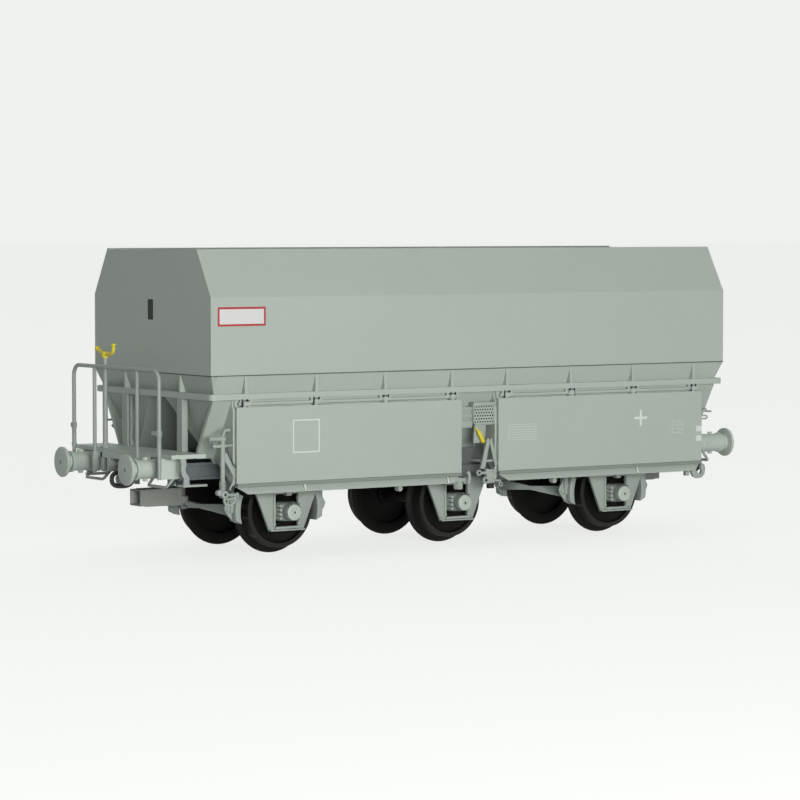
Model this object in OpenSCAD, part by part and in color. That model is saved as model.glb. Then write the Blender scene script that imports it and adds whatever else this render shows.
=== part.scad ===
// Open hopper wagon, 1:87 model: three axles, four side discharge doors, brake platform at one end.
// X runs along the wagon with the platform end at -X, Y across it, Z up.
// The origin is midway between the buffer faces, at the foot of the wheel flanges.
// Heights named *_z are above the rail top; on_rail() lifts them by the flange depth.

/* [Overall] */
// Length over the buffer faces
length_over_buffers = 110.4; // [100:0.1:130]
// Hopper body end behind the buffer faces, platform end
body_inset_platform = 9.9; // [8.5:0.1:14]
// Hopper body end behind the buffer faces, plain end
body_inset_plain = 6.8; // [5.5:0.1:9]
// Hopper body width over the side walls
body_width = 34.5; // [32:0.1:38]
// Width over the side walls at the top rim
top_width = 26.5; // [20:0.1:32]

/* [Body heights] */
// Top rim
rim_z = 44.0; // [40:0.1:50]
// End wall top edge below the rim
end_wall_drop = 0.2; // [0:0.05:1]
// Fold between the upright and the leaning part of the side wall
fold_z = 37.1; // [34:0.1:39]
// Bottom of the upright side and end walls
wall_foot_z = 25.9; // [25:0.1:29]
// Top of the waist frame
waist_top_z = 23.3; // [23:0.1:24]
// Bottom of the waist frame
waist_foot_z = 22.4; // [21.5:0.1:22.6]

/* [Sheets] */
// Side and end wall thickness
wall = 0.8; // [0.6:0.05:1.2]
// Hopper floor, flank and end sheet thickness
sheet = 0.6; // [0.4:0.05:0.9]
// How far the sheets under the walls are set in at the waist
waist_set_in = 0.95; // [0.7:0.05:1.2]
// Foot of the flank sheet outward of the sole bar
flank_past_bar = 0.31; // [0.2:0.01:0.8]
// Run of the hopper end sheet inward for each unit of drop
end_lean = 0.305; // [0.1:0.005:0.6]
// Height of the ridge on the underside of the saddle
saddle_ridge_z = 24.7; // [24:0.1:26]

/* [Gussets and posts] */
// Gusset nearest the middle of the body
gusset_first = 5.05; // [4.4:0.05:8]
// Last gusset from the body end
gusset_end = 5.85; // [5:0.05:8]
// Gussets in each quarter of the frame
gusset_count = 4; // [2:1:7]
// Gusset thickness
gusset_thickness = 0.5; // [0.3:0.05:1]
// Post and end gusset distance from the centre plane
post_y = 8.18; // [6:0.1:12]
// Post width
post_width = 1.5; // [1:0.1:2.5]
// Post depth
post_depth = 0.95; // [0.6:0.05:1.2]
// Post flange thickness
post_flange = 0.4; // [0.3:0.05:0.6]

/* [Doors] */
// Near edge of a door from the middle of the body
door_inner_edge = 3.4; // [3:0.1:6]
// Far edge of a door from the body end
door_end_margin = 4.25; // [3.5:0.05:7]
// Door panel top
door_top_z = 21.35; // [20:0.05:21.4]
// Door panel foot
door_foot_z = 10.35; // [9.9:0.05:12]
// Door panel thickness
door_thickness = 0.5; // [0.4:0.05:0.8]
// Hinge rod radius
rod_radius = 0.27; // [0.2:0.01:0.3]
// Running clearance of a hinge eye or axle around its pin
running_clearance = 0.06; // [0.03:0.01:0.1]
// Hinge rod height
rod_z = 21.8; // [21.7:0.05:21.9]
// Hinge eye wall
eye_wall = 0.15; // [0.1:0.01:0.2]
// Hinge eye length along the rod
eye_length = 1.0; // [0.6:0.1:2]
// Hinge bracket thickness
bracket_thickness = 0.4; // [0.3:0.05:0.6]
// Clearance between a door and what it closes against
door_clearance = 0.1; // [0.05:0.01:0.2]

/* [Chutes] */
// Height of the chute floor under the door's inner face
chute_mouth_z = 10.05; // [9.5:0.05:10.2]
// Lip tip height
lip_foot_z = 8.85; // [8.2:0.05:9.4]
// Lip tip beyond the side wall
lip_reach = 0.5; // [0.2:0.05:1]
// Chute floor and lip thickness
chute_sheet = 0.45; // [0.35:0.05:0.6]
// Flat on the foot of the lip
lip_flat = 0.25; // [0.1:0.05:0.4]
// Cut of the lip's ends along the wagon
lip_mitre = 1.6; // [0.5:0.1:3]

/* [Underframe] */
// Headstock outer face behind the buffer faces
buffer_length = 7.35; // [5:0.05:9]
// Headstock thickness
headstock_thickness = 0.8; // [0.6:0.05:1.2]
// Headstock end past the sole bar
headstock_past_bar = 1.5; // [0.8:0.1:3]
// Headstock foot
headstock_foot_z = 11.1; // [10.8:0.05:11.5]
// Headstock top
headstock_top_z = 13.7; // [13.3:0.05:14]
// Sole bar outer face from the centre plane
sole_bar_y = 11.0; // [10.8:0.05:13.4]
// Sole bar foot
sole_bar_foot_z = 10.7; // [10.4:0.05:11]
// Sole bar top
sole_bar_top_z = 13.15; // [12.8:0.05:13.4]
// Sole bar flange thickness
sole_bar_flange = 0.4; // [0.3:0.05:0.6]
// How far the sole bar flanges stand past the web
sole_bar_edge = 0.25; // [0.1:0.05:0.5]
// Sole bar web thickness
sole_bar_web = 0.4; // [0.3:0.05:0.6]
// Gap between the sole bar and the hopper floor
sole_bar_gap = 0.04; // [0.02:0.01:0.2]
// Cross member width along the wagon
cross_width = 2.4; // [1.5:0.1:4]
// Cross member depth
cross_depth = 1.2; // [0.8:0.1:1.6]
// Gap between a wheel flange and the cross member beside it
cross_gap = 2.35; // [1:0.05:3]

/* [Wheels and axleguards] */
// Distance between neighbouring axles
axle_spacing = 30.35; // [25:0.05:31]
// Middle axle from the middle of the underframe, towards the plain end
axle_shift = 0.9; // [0:0.05:1.2]
// Tread radius
wheel_radius = 5.5; // [5.3:0.05:6.8]
// Flange depth below the rail top
flange_depth = 0.9; // [0.6:0.05:1.1]
// Back to back distance of the wheels
back_to_back = 14.4; // [14.3:0.05:14.5]
// Wheel width with its flange
wheel_width = 3; // [2.4:0.05:3.05]
// Flange thickness
flange_width = 0.75; // [0.6:0.05:0.9]
// Axle radius between the wheels
axle_radius = 1.0; // [0.75:0.05:1.5]
// Journal radius
journal_radius = 0.75; // [0.5:0.05:0.9]
// Axleguard plate outer face from the sole bar web
guard_reach = 1.2; // [1:0.05:3]
// Axleguard plate thickness
guard_thickness = 0.5; // [0.4:0.05:0.8]
// Axleguard half width at its top
guard_top_half = 5.4; // [4.6:0.1:6]
// Axleguard half width at its foot
guard_foot_half = 2.9; // [2.8:0.1:3.6]
// Axleguard foot below the axle
guard_foot_drop = 2.8; // [2.4:0.05:3]
// Axleguard shoulder above the axle, where its sides become upright
guard_shoulder_rise = 3.4; // [2.5:0.05:3.8]
// Window half width
window_half = 1.97; // [1.8:0.01:2.1]
// Window foot below the axle
window_drop = 2.2; // [1.6:0.05:2.2]
// Window top above the axle
window_rise = 2.6; // [2:0.05:2.8]
// Axlebox half height
axlebox_half_height = 1.45; // [1.2:0.05:1.6]
// How far the axlebox stands out of the plate
axlebox_reach = 1.75; // [1.5:0.05:2.1]
// Axlebox cap radius
cap_radius = 1.3; // [1:0.05:1.4]
// Axlebox cap thickness
cap_thickness = 0.65; // [0.3:0.05:1]
// How far the journal runs past the plate
journal_reach = 1.05; // [0.6:0.05:1.3]

/* [Brakes] */
// Gap between a wheel flange and its brake shoe
shoe_gap = 0.25; // [0.15:0.05:0.6]
// Brake shoe thickness
shoe_thickness = 0.9; // [0.6:0.05:1.2]
// Brake shoe half height
shoe_half_height = 2.3; // [1.5:0.1:3]
// Brake hanger and beam thickness
hanger_thickness = 0.6; // [0.4:0.05:0.9]
// Brake beam depth
brake_beam_depth = 0.7; // [0.5:0.05:1]

/* [Buffers and coupling] */
// Buffer distance from the centre plane
buffer_y = 9.75; // [9.5:0.01:10.3]
// Buffer centre height
buffer_z = 12.5; // [12:0.05:12.8]
// Buffer head radius
buffer_head_radius = 2.25; // [2:0.05:2.5]
// Buffer head thickness
buffer_head_thickness = 0.55; // [0.4:0.05:0.8]
// Plunger radius
plunger_radius = 1.15; // [0.9:0.05:1.3]
// Buffer stock radius
stock_radius = 1.45; // [1.3:0.05:1.6]
// Bare length of the plunger behind the head
plunger_show = 0.75; // [0.4:0.05:1.5]
// Coupler pocket width
pocket_width = 3.2; // [3:0.05:3.6]
// Coupler pocket height
pocket_height = 2.55; // [2.4:0.05:2.8]
// Coupler pocket top
pocket_top_z = 8.8; // [8.4:0.05:8.9]
// Coupler pocket mouth past the headstock
pocket_show = 0.25; // [0:0.05:1]
// Coupler pocket wall
pocket_wall = 0.5; // [0.4:0.05:0.7]
// Swing pin radius
swing_pin_radius = 0.45; // [0.4:0.05:0.8]
// Swing boss radius
swing_boss_radius = 0.85; // [0.8:0.05:1.6]
// Hook length past the headstock
hook_length = 2.9; // [2:0.1:4]
// Coupling link length
link_length = 3.6; // [2.5:0.1:5]
// Coupling link half width
link_half = 0.95; // [0.7:0.05:1.4]
// Coupling link and hook bar radius
link_bar = 0.24; // [0.18:0.01:0.35]

/* [Platform] */
// Plank outer edge past the headstock
plank_overhang = 2.45; // [1.5:0.05:3.2]
// How far the plank is tucked under the hopper body
plank_tuck = 0.65; // [0.2:0.05:0.9]
// Plank end past the headstock end
plank_past_headstock = 2.1; // [1:0.1:3.5]
// Plank underside
plank_foot_z = 14.08; // [13.9:0.02:14.4]
// Plank thickness
plank_thickness = 0.6; // [0.4:0.05:0.8]
// Bracket plate thickness
plate_thickness = 0.6; // [0.4:0.05:0.8]
// Middle bracket plates from the centre plane
middle_plate_y = 2.6; // [2:0.1:4]
// Handrail tube radius
rail_tube_radius = 0.3; // [0.25:0.01:0.4]
// Handrail past the headstock
rail_overhang = 3.45; // [3:0.05:4]
// Handrail top
rail_top_z = 27.0; // [24:0.1:30]
// Handrail corner radius
rail_corner = 1.3; // [0.8:0.1:2.5]
// Inner stanchions from the centre plane
rail_inner_y = 6.4; // [4.5:0.1:8]
// Lamp iron height
lamp_iron_z = 17.0; // [16:0.1:20]
// Brake column place across the wagon
column_y = 5.9; // [2:0.1:8]
// Brake column past the headstock
column_overhang = 1.95; // [1:0.05:2]
// Brake column radius
column_radius = 0.38; // [0.3:0.01:0.5]
// Brake column top
column_top_z = 27.9; // [26:0.1:30]
// Crank radius
crank_throw = 2.6; // [1.5:0.1:3.5]
// Crank handle height
crank_handle = 1.6; // [1:0.1:2.5]
// Footstep tread height
tread_z = 10.35; // [9:0.05:11]
// Footstep tread thickness
tread_thickness = 0.35; // [0.25:0.05:0.5]
// Shunter's handle rod radius
handle_radius = 0.22; // [0.18:0.01:0.3]
// Shunter's handle drop below the headstock
handle_drop = 1.45; // [1:0.05:2]

/* [Latch gear and controls] */
// Latch shaft from the cheek beside the door
latch_gap = 1.7; // [1.5:0.05:2.2]
// Latch shaft radius
latch_shaft = 0.36; // [0.3:0.01:0.45]
// Latch top lever height
latch_top_z = 16.95; // [15:0.05:19]
// Latch foot eye height
latch_foot_z = 8.3; // [7.9:0.05:9]
// Latch foot eye radius
latch_eye = 1.1; // [0.9:0.05:1.3]
// Control box top
control_top_z = 20.8; // [20:0.05:21]
// Control box foot
control_foot_z = 17.3; // [16.5:0.05:18]
// Control box length
control_length = 3.8; // [3:0.05:3.8]
// Control box beam top
control_beam_z = 20.1; // [19:0.05:20.5]
// Control box beam depth
control_beam_depth = 3.2; // [2:0.05:3.4]
// Lever plate foot
lever_plate_z = 14.5; // [14:0.05:15.5]
// Apex of the strut between the doors
strut_top_z = 15.4; // [14:0.05:16]
// Foot of the strut between the doors
strut_foot_z = 10.75; // [10.4:0.05:12]

/* [Build] */
// Which node to build

/* [Hidden] */
$fn = 48;
joint = 0.001;
body_length = length_over_buffers - body_inset_platform - body_inset_plain;
body_shift = (body_inset_platform - body_inset_plain) / 2;
half_body = body_length / 2;
half_width = body_width / 2;
half_top = top_width / 2;
waist_y = half_width - waist_set_in;
waist_x = half_body - waist_set_in;
axle_z = wheel_radius;
body_lean = (half_width - half_top) / (rim_z - fold_z);
lean_wall = wall * sqrt(1 + body_lean * body_lean);
inner_fold_z = rim_z - (half_width - wall - half_top + lean_wall) / body_lean;
saddle_slope = (saddle_ridge_z - sole_bar_top_z - sole_bar_gap) / sole_bar_y;
saddle_rise = sheet * sqrt(1 + saddle_slope * saddle_slope);
saddle_top_z = saddle_ridge_z + saddle_rise;
flank_foot_y = sole_bar_y + flank_past_bar;
flank_foot_z = saddle_top_z - saddle_slope * flank_foot_y;
flank_lean = (waist_y - flank_foot_y) / (waist_foot_z - flank_foot_z);
flank_run = sheet * sqrt(1 + flank_lean * flank_lean);
end_run = sheet * sqrt(1 + end_lean * end_lean);
gusset_step = (half_body - gusset_end - gusset_first) / (gusset_count - 1);
gusset_places = [for (i = [0 : gusset_count - 1]) gusset_first + i * gusset_step];
door_outer_edge = half_body - door_end_margin;
door_y = half_width;
door_back_y = half_width - door_thickness;
rod_y = half_width - 0.3;
eye_radius = rod_radius + running_clearance + eye_wall;
cheek_y = door_back_y - door_clearance;
cheek_overlap = 0.3;
cheek_sheet = 0.5;
headstock_x = length_over_buffers / 2 - buffer_length;
headstock_half_width = sole_bar_y + headstock_past_bar;
sole_bar_web_y = sole_bar_y - sole_bar_edge;
sole_bar_inner_y = sole_bar_web_y - sole_bar_web;
wheel_reach = wheel_radius + flange_depth;
guard_y = sole_bar_web_y + guard_reach;
axlebox_y = guard_y + axlebox_reach;
cap_y = axlebox_y + cap_thickness;
journal_end_y = guard_y + journal_reach;
shoe_y = back_to_back / 2 + flange_width + 0.15;
hanger_x = wheel_reach + shoe_gap + shoe_thickness - 0.2;
swing_pin_x = axle_spacing + axle_shift + hanger_x + hanger_thickness + 0.1 + swing_boss_radius;
pocket_back_x = swing_pin_x + swing_boss_radius + 0.1;
pocket_mouth_x = headstock_x + pocket_show;
pocket_foot_z = pocket_top_z - pocket_height;
swing_pin_foot_z = pocket_foot_z - 0.7;
brake_beam_top_z = pocket_foot_z - 0.1;
plank_edge_x = headstock_x + plank_overhang;
plank_inner_x = half_body - body_shift - plank_tuck;
plank_top_z = plank_foot_z + plank_thickness;
plank_half_width = headstock_half_width + plank_past_headstock;
rail_x = headstock_x + rail_overhang;
rail_half_width = headstock_half_width + rail_tube_radius;
column_x = headstock_x + column_overhang;
bearer_half = buffer_y - stock_radius - 0.1;
bracket_front_x = rail_x - rail_tube_radius;

// ---- places -------------------------------------------------------------------------------

module on_rail() translate([0, 0, flange_depth]) children();

module on_body() on_rail() translate([body_shift, 0, 0]) children();

module both_sides() {
    children();
    mirror([0, 1, 0]) children();
}

module both_ends() {
    children();
    mirror([1, 0, 0]) children();
}

// A profile drawn in (y, z), run along X between two places
module along(x0, x1) {
    translate([x0, 0, 0]) rotate([90, 0, 90]) linear_extrude(x1 - x0) children();
}

// A profile drawn in (x, z), run across the wagon between two places
module across(y0, y1) {
    translate([0, y1, 0]) rotate([90, 0, 0]) linear_extrude(y1 - y0) children();
}

module block(low, high) translate(low) cube(high - low);

module rod_along(x0, x1, y, z, r) translate([x0, y, z]) rotate([0, 90, 0]) cylinder(x1 - x0, r, r);

module rod_across(y0, y1, x, z, r) translate([x, y1, z]) rotate([90, 0, 0]) cylinder(y1 - y0, r, r);

module rod_up(z0, z1, x, y, r) translate([x, y, z0]) cylinder(z1 - z0, r, r);

// ---- hopper body --------------------------------------------------------------------------

module side_wall() {
    along(-half_body, half_body) polygon([
        [half_width, wall_foot_z], [half_width, fold_z], [half_top, rim_z],
        [half_top - lean_wall, rim_z], [half_width - wall, inner_fold_z],
        [half_width - wall, wall_foot_z]
    ]);
}

module side_wall_front() color("#a8b2aa") on_body() mirror([0, 1, 0]) side_wall();

module side_wall_back() color("#a8b2aa") on_body() side_wall();

module end_wall() {
    inner = half_width - wall;
    top = rim_z - end_wall_drop;
    inner_top = half_top - lean_wall + end_wall_drop * body_lean;
    along(half_body - wall, half_body) polygon([
        [-inner, wall_foot_z], [inner, wall_foot_z], [inner, inner_fold_z],
        [inner_top, top], [-inner_top, top], [-inner, inner_fold_z]
    ]);
}

module end_wall_platform() color("#a8b2aa") on_body() mirror([1, 0, 0]) end_wall();

module end_wall_plain() color("#a8b2aa") on_body() end_wall();

// Height of the saddle's upper side at a distance from the centre plane
function saddle_z(y) = saddle_top_z - saddle_slope * y;

// Outer face of the flank sheet at a height, and where its inner face meets the saddle
function flank_y(z) = waist_y - (waist_foot_z - z) * flank_lean;
function flank_meet_z(run) =
    (saddle_top_z - saddle_slope * (waist_y - run - waist_foot_z * flank_lean))
    / (1 + saddle_slope * flank_lean);

flank_inner_foot_z = flank_meet_z(flank_run);
flank_inner_foot_y = flank_y(flank_inner_foot_z) - flank_run;

module flank_band() {
    along(-waist_x, waist_x) polygon([
        [half_width - wall, wall_foot_z], [half_width, wall_foot_z],
        [waist_y, waist_top_z], [waist_y, waist_foot_z],
        [waist_y - wall, waist_foot_z], [waist_y - wall, waist_top_z]
    ]);
}

module flank_sheet(x0, x1) {
    along(x0, x1) polygon([
        [waist_y, waist_foot_z], [flank_foot_y, flank_foot_z],
        [flank_inner_foot_y, flank_inner_foot_z], [waist_y - flank_run, waist_foot_z]
    ]);
}

// Upright plate that closes the end of a door's bay
module cheek(x) {
    along(x, x + cheek_sheet) polygon([
        [waist_y - flank_run, waist_foot_z], [waist_y, waist_foot_z],
        [waist_y, rod_z - eye_radius - door_clearance],
        [cheek_y, rod_z - eye_radius - door_clearance],
        [cheek_y, chute_top_z(cheek_y)], [flank_foot_y, flank_foot_z],
        [flank_inner_foot_y, flank_inner_foot_z]
    ]);
}

module hopper_flank() {
    gap_edge = door_inner_edge - cheek_overlap;
    bay_edge = door_outer_edge + cheek_overlap;
    flank_band();
    flank_sheet(-gap_edge, gap_edge);
    both_ends() {
        flank_sheet(bay_edge, waist_x);
        cheek(gap_edge);
        cheek(bay_edge - cheek_sheet);
    }
}

module hopper_flank_front() color("#a3ada5") on_body() mirror([0, 1, 0]) hopper_flank();

module hopper_flank_back() color("#a3ada5") on_body() hopper_flank();

// Side view of the hopper ends: an upright band at the waist, then the leaning end sheet
module end_band_profile() {
    polygon([
        [half_body - wall, wall_foot_z], [half_body, wall_foot_z],
        [waist_x, waist_top_z], [waist_x, waist_foot_z],
        [waist_x - wall, waist_foot_z], [waist_x - wall, waist_top_z]
    ]);
}

module end_sheet_profile() {
    drop = waist_foot_z - flank_foot_z;
    polygon([
        [waist_x, waist_foot_z], [waist_x - drop * end_lean, flank_foot_z],
        [waist_x - drop * end_lean - end_run, flank_foot_z], [waist_x - end_run, waist_foot_z]
    ]);
}

module hopper_end() {
    inner = waist_y - flank_run;
    top_y = (saddle_top_z - waist_foot_z) / saddle_slope;
    across(-(waist_y - wall), waist_y - wall) end_band_profile();
    both_sides() intersection() {
        across(0, half_width) end_sheet_profile();
        along(0, half_body) polygon([
            [top_y, waist_foot_z], [inner, waist_foot_z],
            [flank_inner_foot_y, flank_inner_foot_z]
        ]);
    }
    // outer corners of the band, past the flank bands
    both_sides() intersection() {
        across(0, half_width) end_band_profile();
        along(waist_x, half_body) polygon([
            [0, waist_foot_z], [waist_y, waist_foot_z], [waist_y, waist_top_z],
            [half_width, wall_foot_z], [0, wall_foot_z]
        ]);
    }
}

module hopper_end_platform() color("#8f9992") on_body() mirror([1, 0, 0]) hopper_end();

module hopper_end_plain() color("#8f9992") on_body() hopper_end();

// Inverted V floor of the hopper, cut to the lean of the end sheets
module hopper_saddle() {
    foot_y = flank_foot_y;
    drop = waist_foot_z - 8;
    color("#99a39b") on_body() intersection() {
        along(-half_body, half_body) polygon([
            [0, saddle_top_z], [foot_y, saddle_z(foot_y)], [foot_y, saddle_z(foot_y) - saddle_rise],
            [0, saddle_ridge_z], [-foot_y, saddle_z(foot_y) - saddle_rise],
            [-foot_y, saddle_z(foot_y)]
        ]);
        across(-half_width, half_width) polygon([
            [waist_x - wall, saddle_top_z + 1], [waist_x - wall, waist_foot_z],
            [waist_x, waist_foot_z], [waist_x - drop * end_lean, 8],
            [-waist_x + drop * end_lean, 8], [-waist_x, waist_foot_z],
            [-waist_x + wall, waist_foot_z], [-waist_x + wall, saddle_top_z + 1]
        ]);
    }
}

// ---- waist frame, gussets and posts -------------------------------------------------------

module gusset_profile() {
    polygon([
        [half_width, wall_foot_z], [half_width, waist_top_z], [waist_y, waist_top_z]
    ]);
}

module waist_frame() {
    corner = 0.8;
    edge_z = waist_foot_z;
    color("#aab4ac") on_body() {
        difference() {
            translate([0, 0, edge_z]) linear_extrude(waist_top_z - edge_z) union() {
                square([body_length - 2 * corner, body_width], center = true);
                square([body_length, body_width - 2 * corner], center = true);
                for (sx = [-1, 1], sy = [-1, 1])
                    translate([sx * (half_body - corner), sy * (half_width - corner)]) circle(corner);
            }
            block([-waist_x, -waist_y, edge_z - 1], [waist_x, waist_y, waist_top_z + 1]);
        }
        both_sides() for (place = gusset_places) both_ends()
            along(place - gusset_thickness / 2, place + gusset_thickness / 2) gusset_profile();
        both_sides() both_ends() across(post_y - gusset_thickness / 2, post_y + gusset_thickness / 2)
            polygon([[half_body, wall_foot_z], [half_body, waist_top_z], [waist_x, waist_top_z]]);
        hinge_rods();
    }
}

module hinge_rods() {
    both_sides() both_ends() {
        rod_along(door_inner_edge + 0.4, door_outer_edge - 0.4, rod_y, rod_z, rod_radius);
        for (place = gusset_places) for (side = [-1, 1])
            translate([place + side * (eye_length / 2 + 0.1 + bracket_thickness / 2), 0, 0])
                block([-bracket_thickness / 2, rod_y - 0.25, rod_z], [bracket_thickness / 2, rod_y + 0.25, waist_foot_z]);
    }
}

// Channel posts at the body ends, open towards the middle of the wagon's width
module post(foot_z) {
    translate([0, post_y, 0]) difference() {
        block([half_body - post_depth, -post_width / 2, foot_z], [half_body, post_width / 2, waist_foot_z]);
        block([half_body - post_depth + post_flange, -post_width, foot_z - 1],
              [half_body - post_flange, post_width / 2 - post_flange, waist_foot_z + 1]);
    }
}

module end_posts() {
    color("#8c968f") on_body() both_sides() {
        post(headstock_top_z);
        mirror([1, 0, 0]) post(plank_foot_z + plank_thickness);
    }
}

// ---- doors and chutes ---------------------------------------------------------------------

module door() {
    difference() {
        union() {
            block([door_inner_edge, door_back_y, door_foot_z], [door_outer_edge, door_y, door_top_z]);
            for (place = gusset_places) translate([place, 0, 0]) {
                block([-eye_length / 2, door_back_y, door_top_z - joint],
                      [eye_length / 2, door_y, rod_z - 0.2]);
                rod_along(-eye_length / 2, eye_length / 2, rod_y, rod_z, eye_radius);
            }
        }
        rod_along(door_inner_edge, door_outer_edge, rod_y, rod_z, rod_radius + running_clearance);
    }
}

module door_front_platform() color("#a9b3ab") on_body() mirror([0, 1, 0]) mirror([1, 0, 0]) door();

module door_front_plain() color("#a9b3ab") on_body() mirror([0, 1, 0]) door();

module door_back_platform() color("#a9b3ab") on_body() mirror([1, 0, 0]) door();

module door_back_plain() color("#a9b3ab") on_body() door();

// Upper side of the chute floor between the saddle's foot and the door
chute_fall = (flank_foot_z - chute_mouth_z) / (door_back_y - flank_foot_y);
lip_y = half_width + lip_reach;
lip_fall = (chute_mouth_z - lip_foot_z) / (lip_y - door_back_y);
function chute_top_z(y) = chute_mouth_z + (door_back_y - y) * chute_fall;

// Fall of the chute floor's underside, and the underside of the hopper at a distance from the centre plane
chute_drop = chute_sheet * sqrt(1 + chute_fall * chute_fall);
function hopper_foot_z(y) =
    y < flank_foot_y ? saddle_z(y) - saddle_rise : chute_top_z(y) - chute_drop;

module chute() {
    knee_z = chute_mouth_z - chute_drop;
    intersection() {
        along(door_inner_edge, door_outer_edge) polygon([
            [flank_foot_y, flank_foot_z], [door_back_y, chute_mouth_z], [lip_y, lip_foot_z],
            [lip_y - lip_flat, lip_foot_z], [door_back_y, knee_z],
            [flank_foot_y, flank_foot_z - chute_drop]
        ]);
        across(0, lip_y + 1) polygon([
            [door_inner_edge, flank_foot_z + 1], [door_outer_edge, flank_foot_z + 1],
            [door_outer_edge, chute_mouth_z], [door_outer_edge - lip_mitre, lip_foot_z],
            [door_inner_edge + lip_mitre, lip_foot_z], [door_inner_edge, chute_mouth_z]
        ]);
    }
}

module chute_front() color("#aeb8b0") on_body() mirror([0, 1, 0]) both_ends() chute();

module chute_back() color("#aeb8b0") on_body() both_ends() chute();

// ---- underframe ---------------------------------------------------------------------------

cross_place = wheel_reach + cross_gap + cross_width / 2;
cross_end_x = swing_pin_x + cross_width / 2 + 0.6;
cross_places = [
    -cross_end_x, cross_end_x,
    for (x = [cross_place - axle_spacing, -cross_place, cross_place, axle_spacing - cross_place])
        x + axle_shift
];

module sole_bar() {
    reach = headstock_x - headstock_thickness;
    along(-reach, reach) polygon([
        [sole_bar_inner_y, sole_bar_foot_z], [sole_bar_y, sole_bar_foot_z],
        [sole_bar_y, sole_bar_foot_z + sole_bar_flange],
        [sole_bar_web_y, sole_bar_foot_z + sole_bar_flange],
        [sole_bar_web_y, sole_bar_top_z - sole_bar_flange],
        [sole_bar_y, sole_bar_top_z - sole_bar_flange],
        [sole_bar_y, sole_bar_top_z], [sole_bar_inner_y, sole_bar_top_z]
    ]);
}

module underframe() {
    cross_top_z = sole_bar_foot_z + cross_depth;
    stem_half = 2;
    head = 0.3;
    color("#8b958e") on_rail() {
        both_sides() sole_bar();
        for (x = cross_places)
            block([x - cross_width / 2, -sole_bar_inner_y, sole_bar_foot_z],
                  [x + cross_width / 2, sole_bar_inner_y, cross_top_z]);
        both_ends() {
            block([swing_pin_x - stem_half / 2, -stem_half, sole_bar_foot_z],
                  [cross_end_x, stem_half, cross_top_z]);
            rod_up(swing_pin_foot_z, sole_bar_foot_z + joint, swing_pin_x, 0, swing_pin_radius);
            rod_up(swing_pin_foot_z, swing_pin_foot_z + 0.4, swing_pin_x, 0, swing_pin_radius + head);
        }
    }
}

module headstock() {
    block([headstock_x - headstock_thickness, -headstock_half_width, headstock_foot_z],
          [headstock_x, headstock_half_width, headstock_top_z]);
}

module headstock_platform() color("#98a29b") on_rail() mirror([1, 0, 0]) headstock();

module headstock_plain() color("#98a29b") on_rail() headstock();

// ---- platform end -------------------------------------------------------------------------

// Plank with its bearer, side bracket plates and the two middle bracket plates
module platform() {
    bearer_depth = 0.75;
    bearer_thickness = plate_thickness / 2;
    color("#b4bdb3") on_rail() mirror([1, 0, 0]) {
        block([plank_inner_x, -plank_half_width, plank_foot_z],
              [plank_edge_x, plank_half_width, plank_top_z]);
        block([plank_edge_x - bearer_thickness, -bearer_half, plank_foot_z - bearer_depth],
              [bracket_front_x, bearer_half, plank_foot_z]);
        both_sides() {
            block([headstock_x, headstock_half_width - plate_thickness, headstock_foot_z],
                  [bracket_front_x, headstock_half_width, plank_foot_z]);
            block([headstock_x, middle_plate_y, headstock_foot_z + 0.3],
                  [bracket_front_x, middle_plate_y + plate_thickness, plank_foot_z]);
        }
    }
}

module handrail() {
    tube = rail_tube_radius;
    top = rail_top_z - tube;
    foot = headstock_foot_z;
    clip_y = headstock_half_width + tube;
    color("#7d8780") on_rail() translate([-rail_x, 0, 0]) {
        both_sides() {
            rod_up(foot, top - rail_corner, 0, rail_half_width, tube);
            translate([0, rail_half_width - rail_corner, top - rail_corner]) rotate([90, 0, 90])
                rotate_extrude(angle = 90) translate([rail_corner, 0]) circle(tube);
            rod_up(foot, top, 0, rail_inner_y, tube);
            block([-tube, headstock_half_width, foot + tube], [tube, clip_y, foot + 3 * tube]);
            // lamp iron, hooked over the outer tube
            block([-tube - 0.05, rail_half_width - 1.9, lamp_iron_z - 0.4],
                  [tube + 0.05, rail_half_width + tube - 0.1, lamp_iron_z + 0.4]);
        }
        rod_across(-(rail_half_width - rail_corner), rail_half_width - rail_corner, 0, top, tube);
    }
}

module brake_column() {
    collar = 0.3;
    color("#7d8780") on_rail() translate([-column_x, column_y, 0]) {
        rod_up(plank_top_z, column_top_z, 0, 0, column_radius);
        rod_up(plank_top_z, plank_top_z + collar, 0, 0, 2 * column_radius - collar);
    }
}

// Crank with its upright handle at one end and a short tail at the other
module brake_crank() {
    bar = 0.25;
    hub_height = 1.0;
    tail = crank_throw * 0.9;
    arm_z = column_top_z + hub_height / 2;
    color("#e2c81e") on_rail() translate([-column_x, column_y, 0]) {
        rod_up(column_top_z, column_top_z + hub_height, 0, 0, 2 * bar);
        along(-bar, bar) polygon([
            [-crank_throw - bar, arm_z + bar], [-crank_throw, arm_z],
            [0, arm_z - bar], [tail, arm_z + 2 * bar], [tail, arm_z + 4 * bar], [0, arm_z + bar],
            [-crank_throw, arm_z + 2 * bar]
        ]);
        rod_up(arm_z, arm_z + crank_handle, 0, -crank_throw, bar + 0.05);
        translate([0, tail, arm_z + 3 * bar]) rotate([90, 0, 0]) cylinder(0.7, 0.38, 0.38, center = true);
    }
}

module footstep() {
    strap = tread_thickness;
    strap_x = headstock_x - 0.65;
    tread_width = 1.6;
    tread_length = 4.6;
    y = plank_half_width;
    block([strap_x, y - strap, tread_z], [strap_x + 1, y, plank_foot_z]);
    block([strap_x + 1.8 - tread_length, y - tread_width, tread_z - strap],
          [strap_x + 1.8, y + 0.2, tread_z]);
}

module footsteps() color("#b4bdb3") on_rail() mirror([1, 0, 0]) both_sides() footstep();

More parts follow.
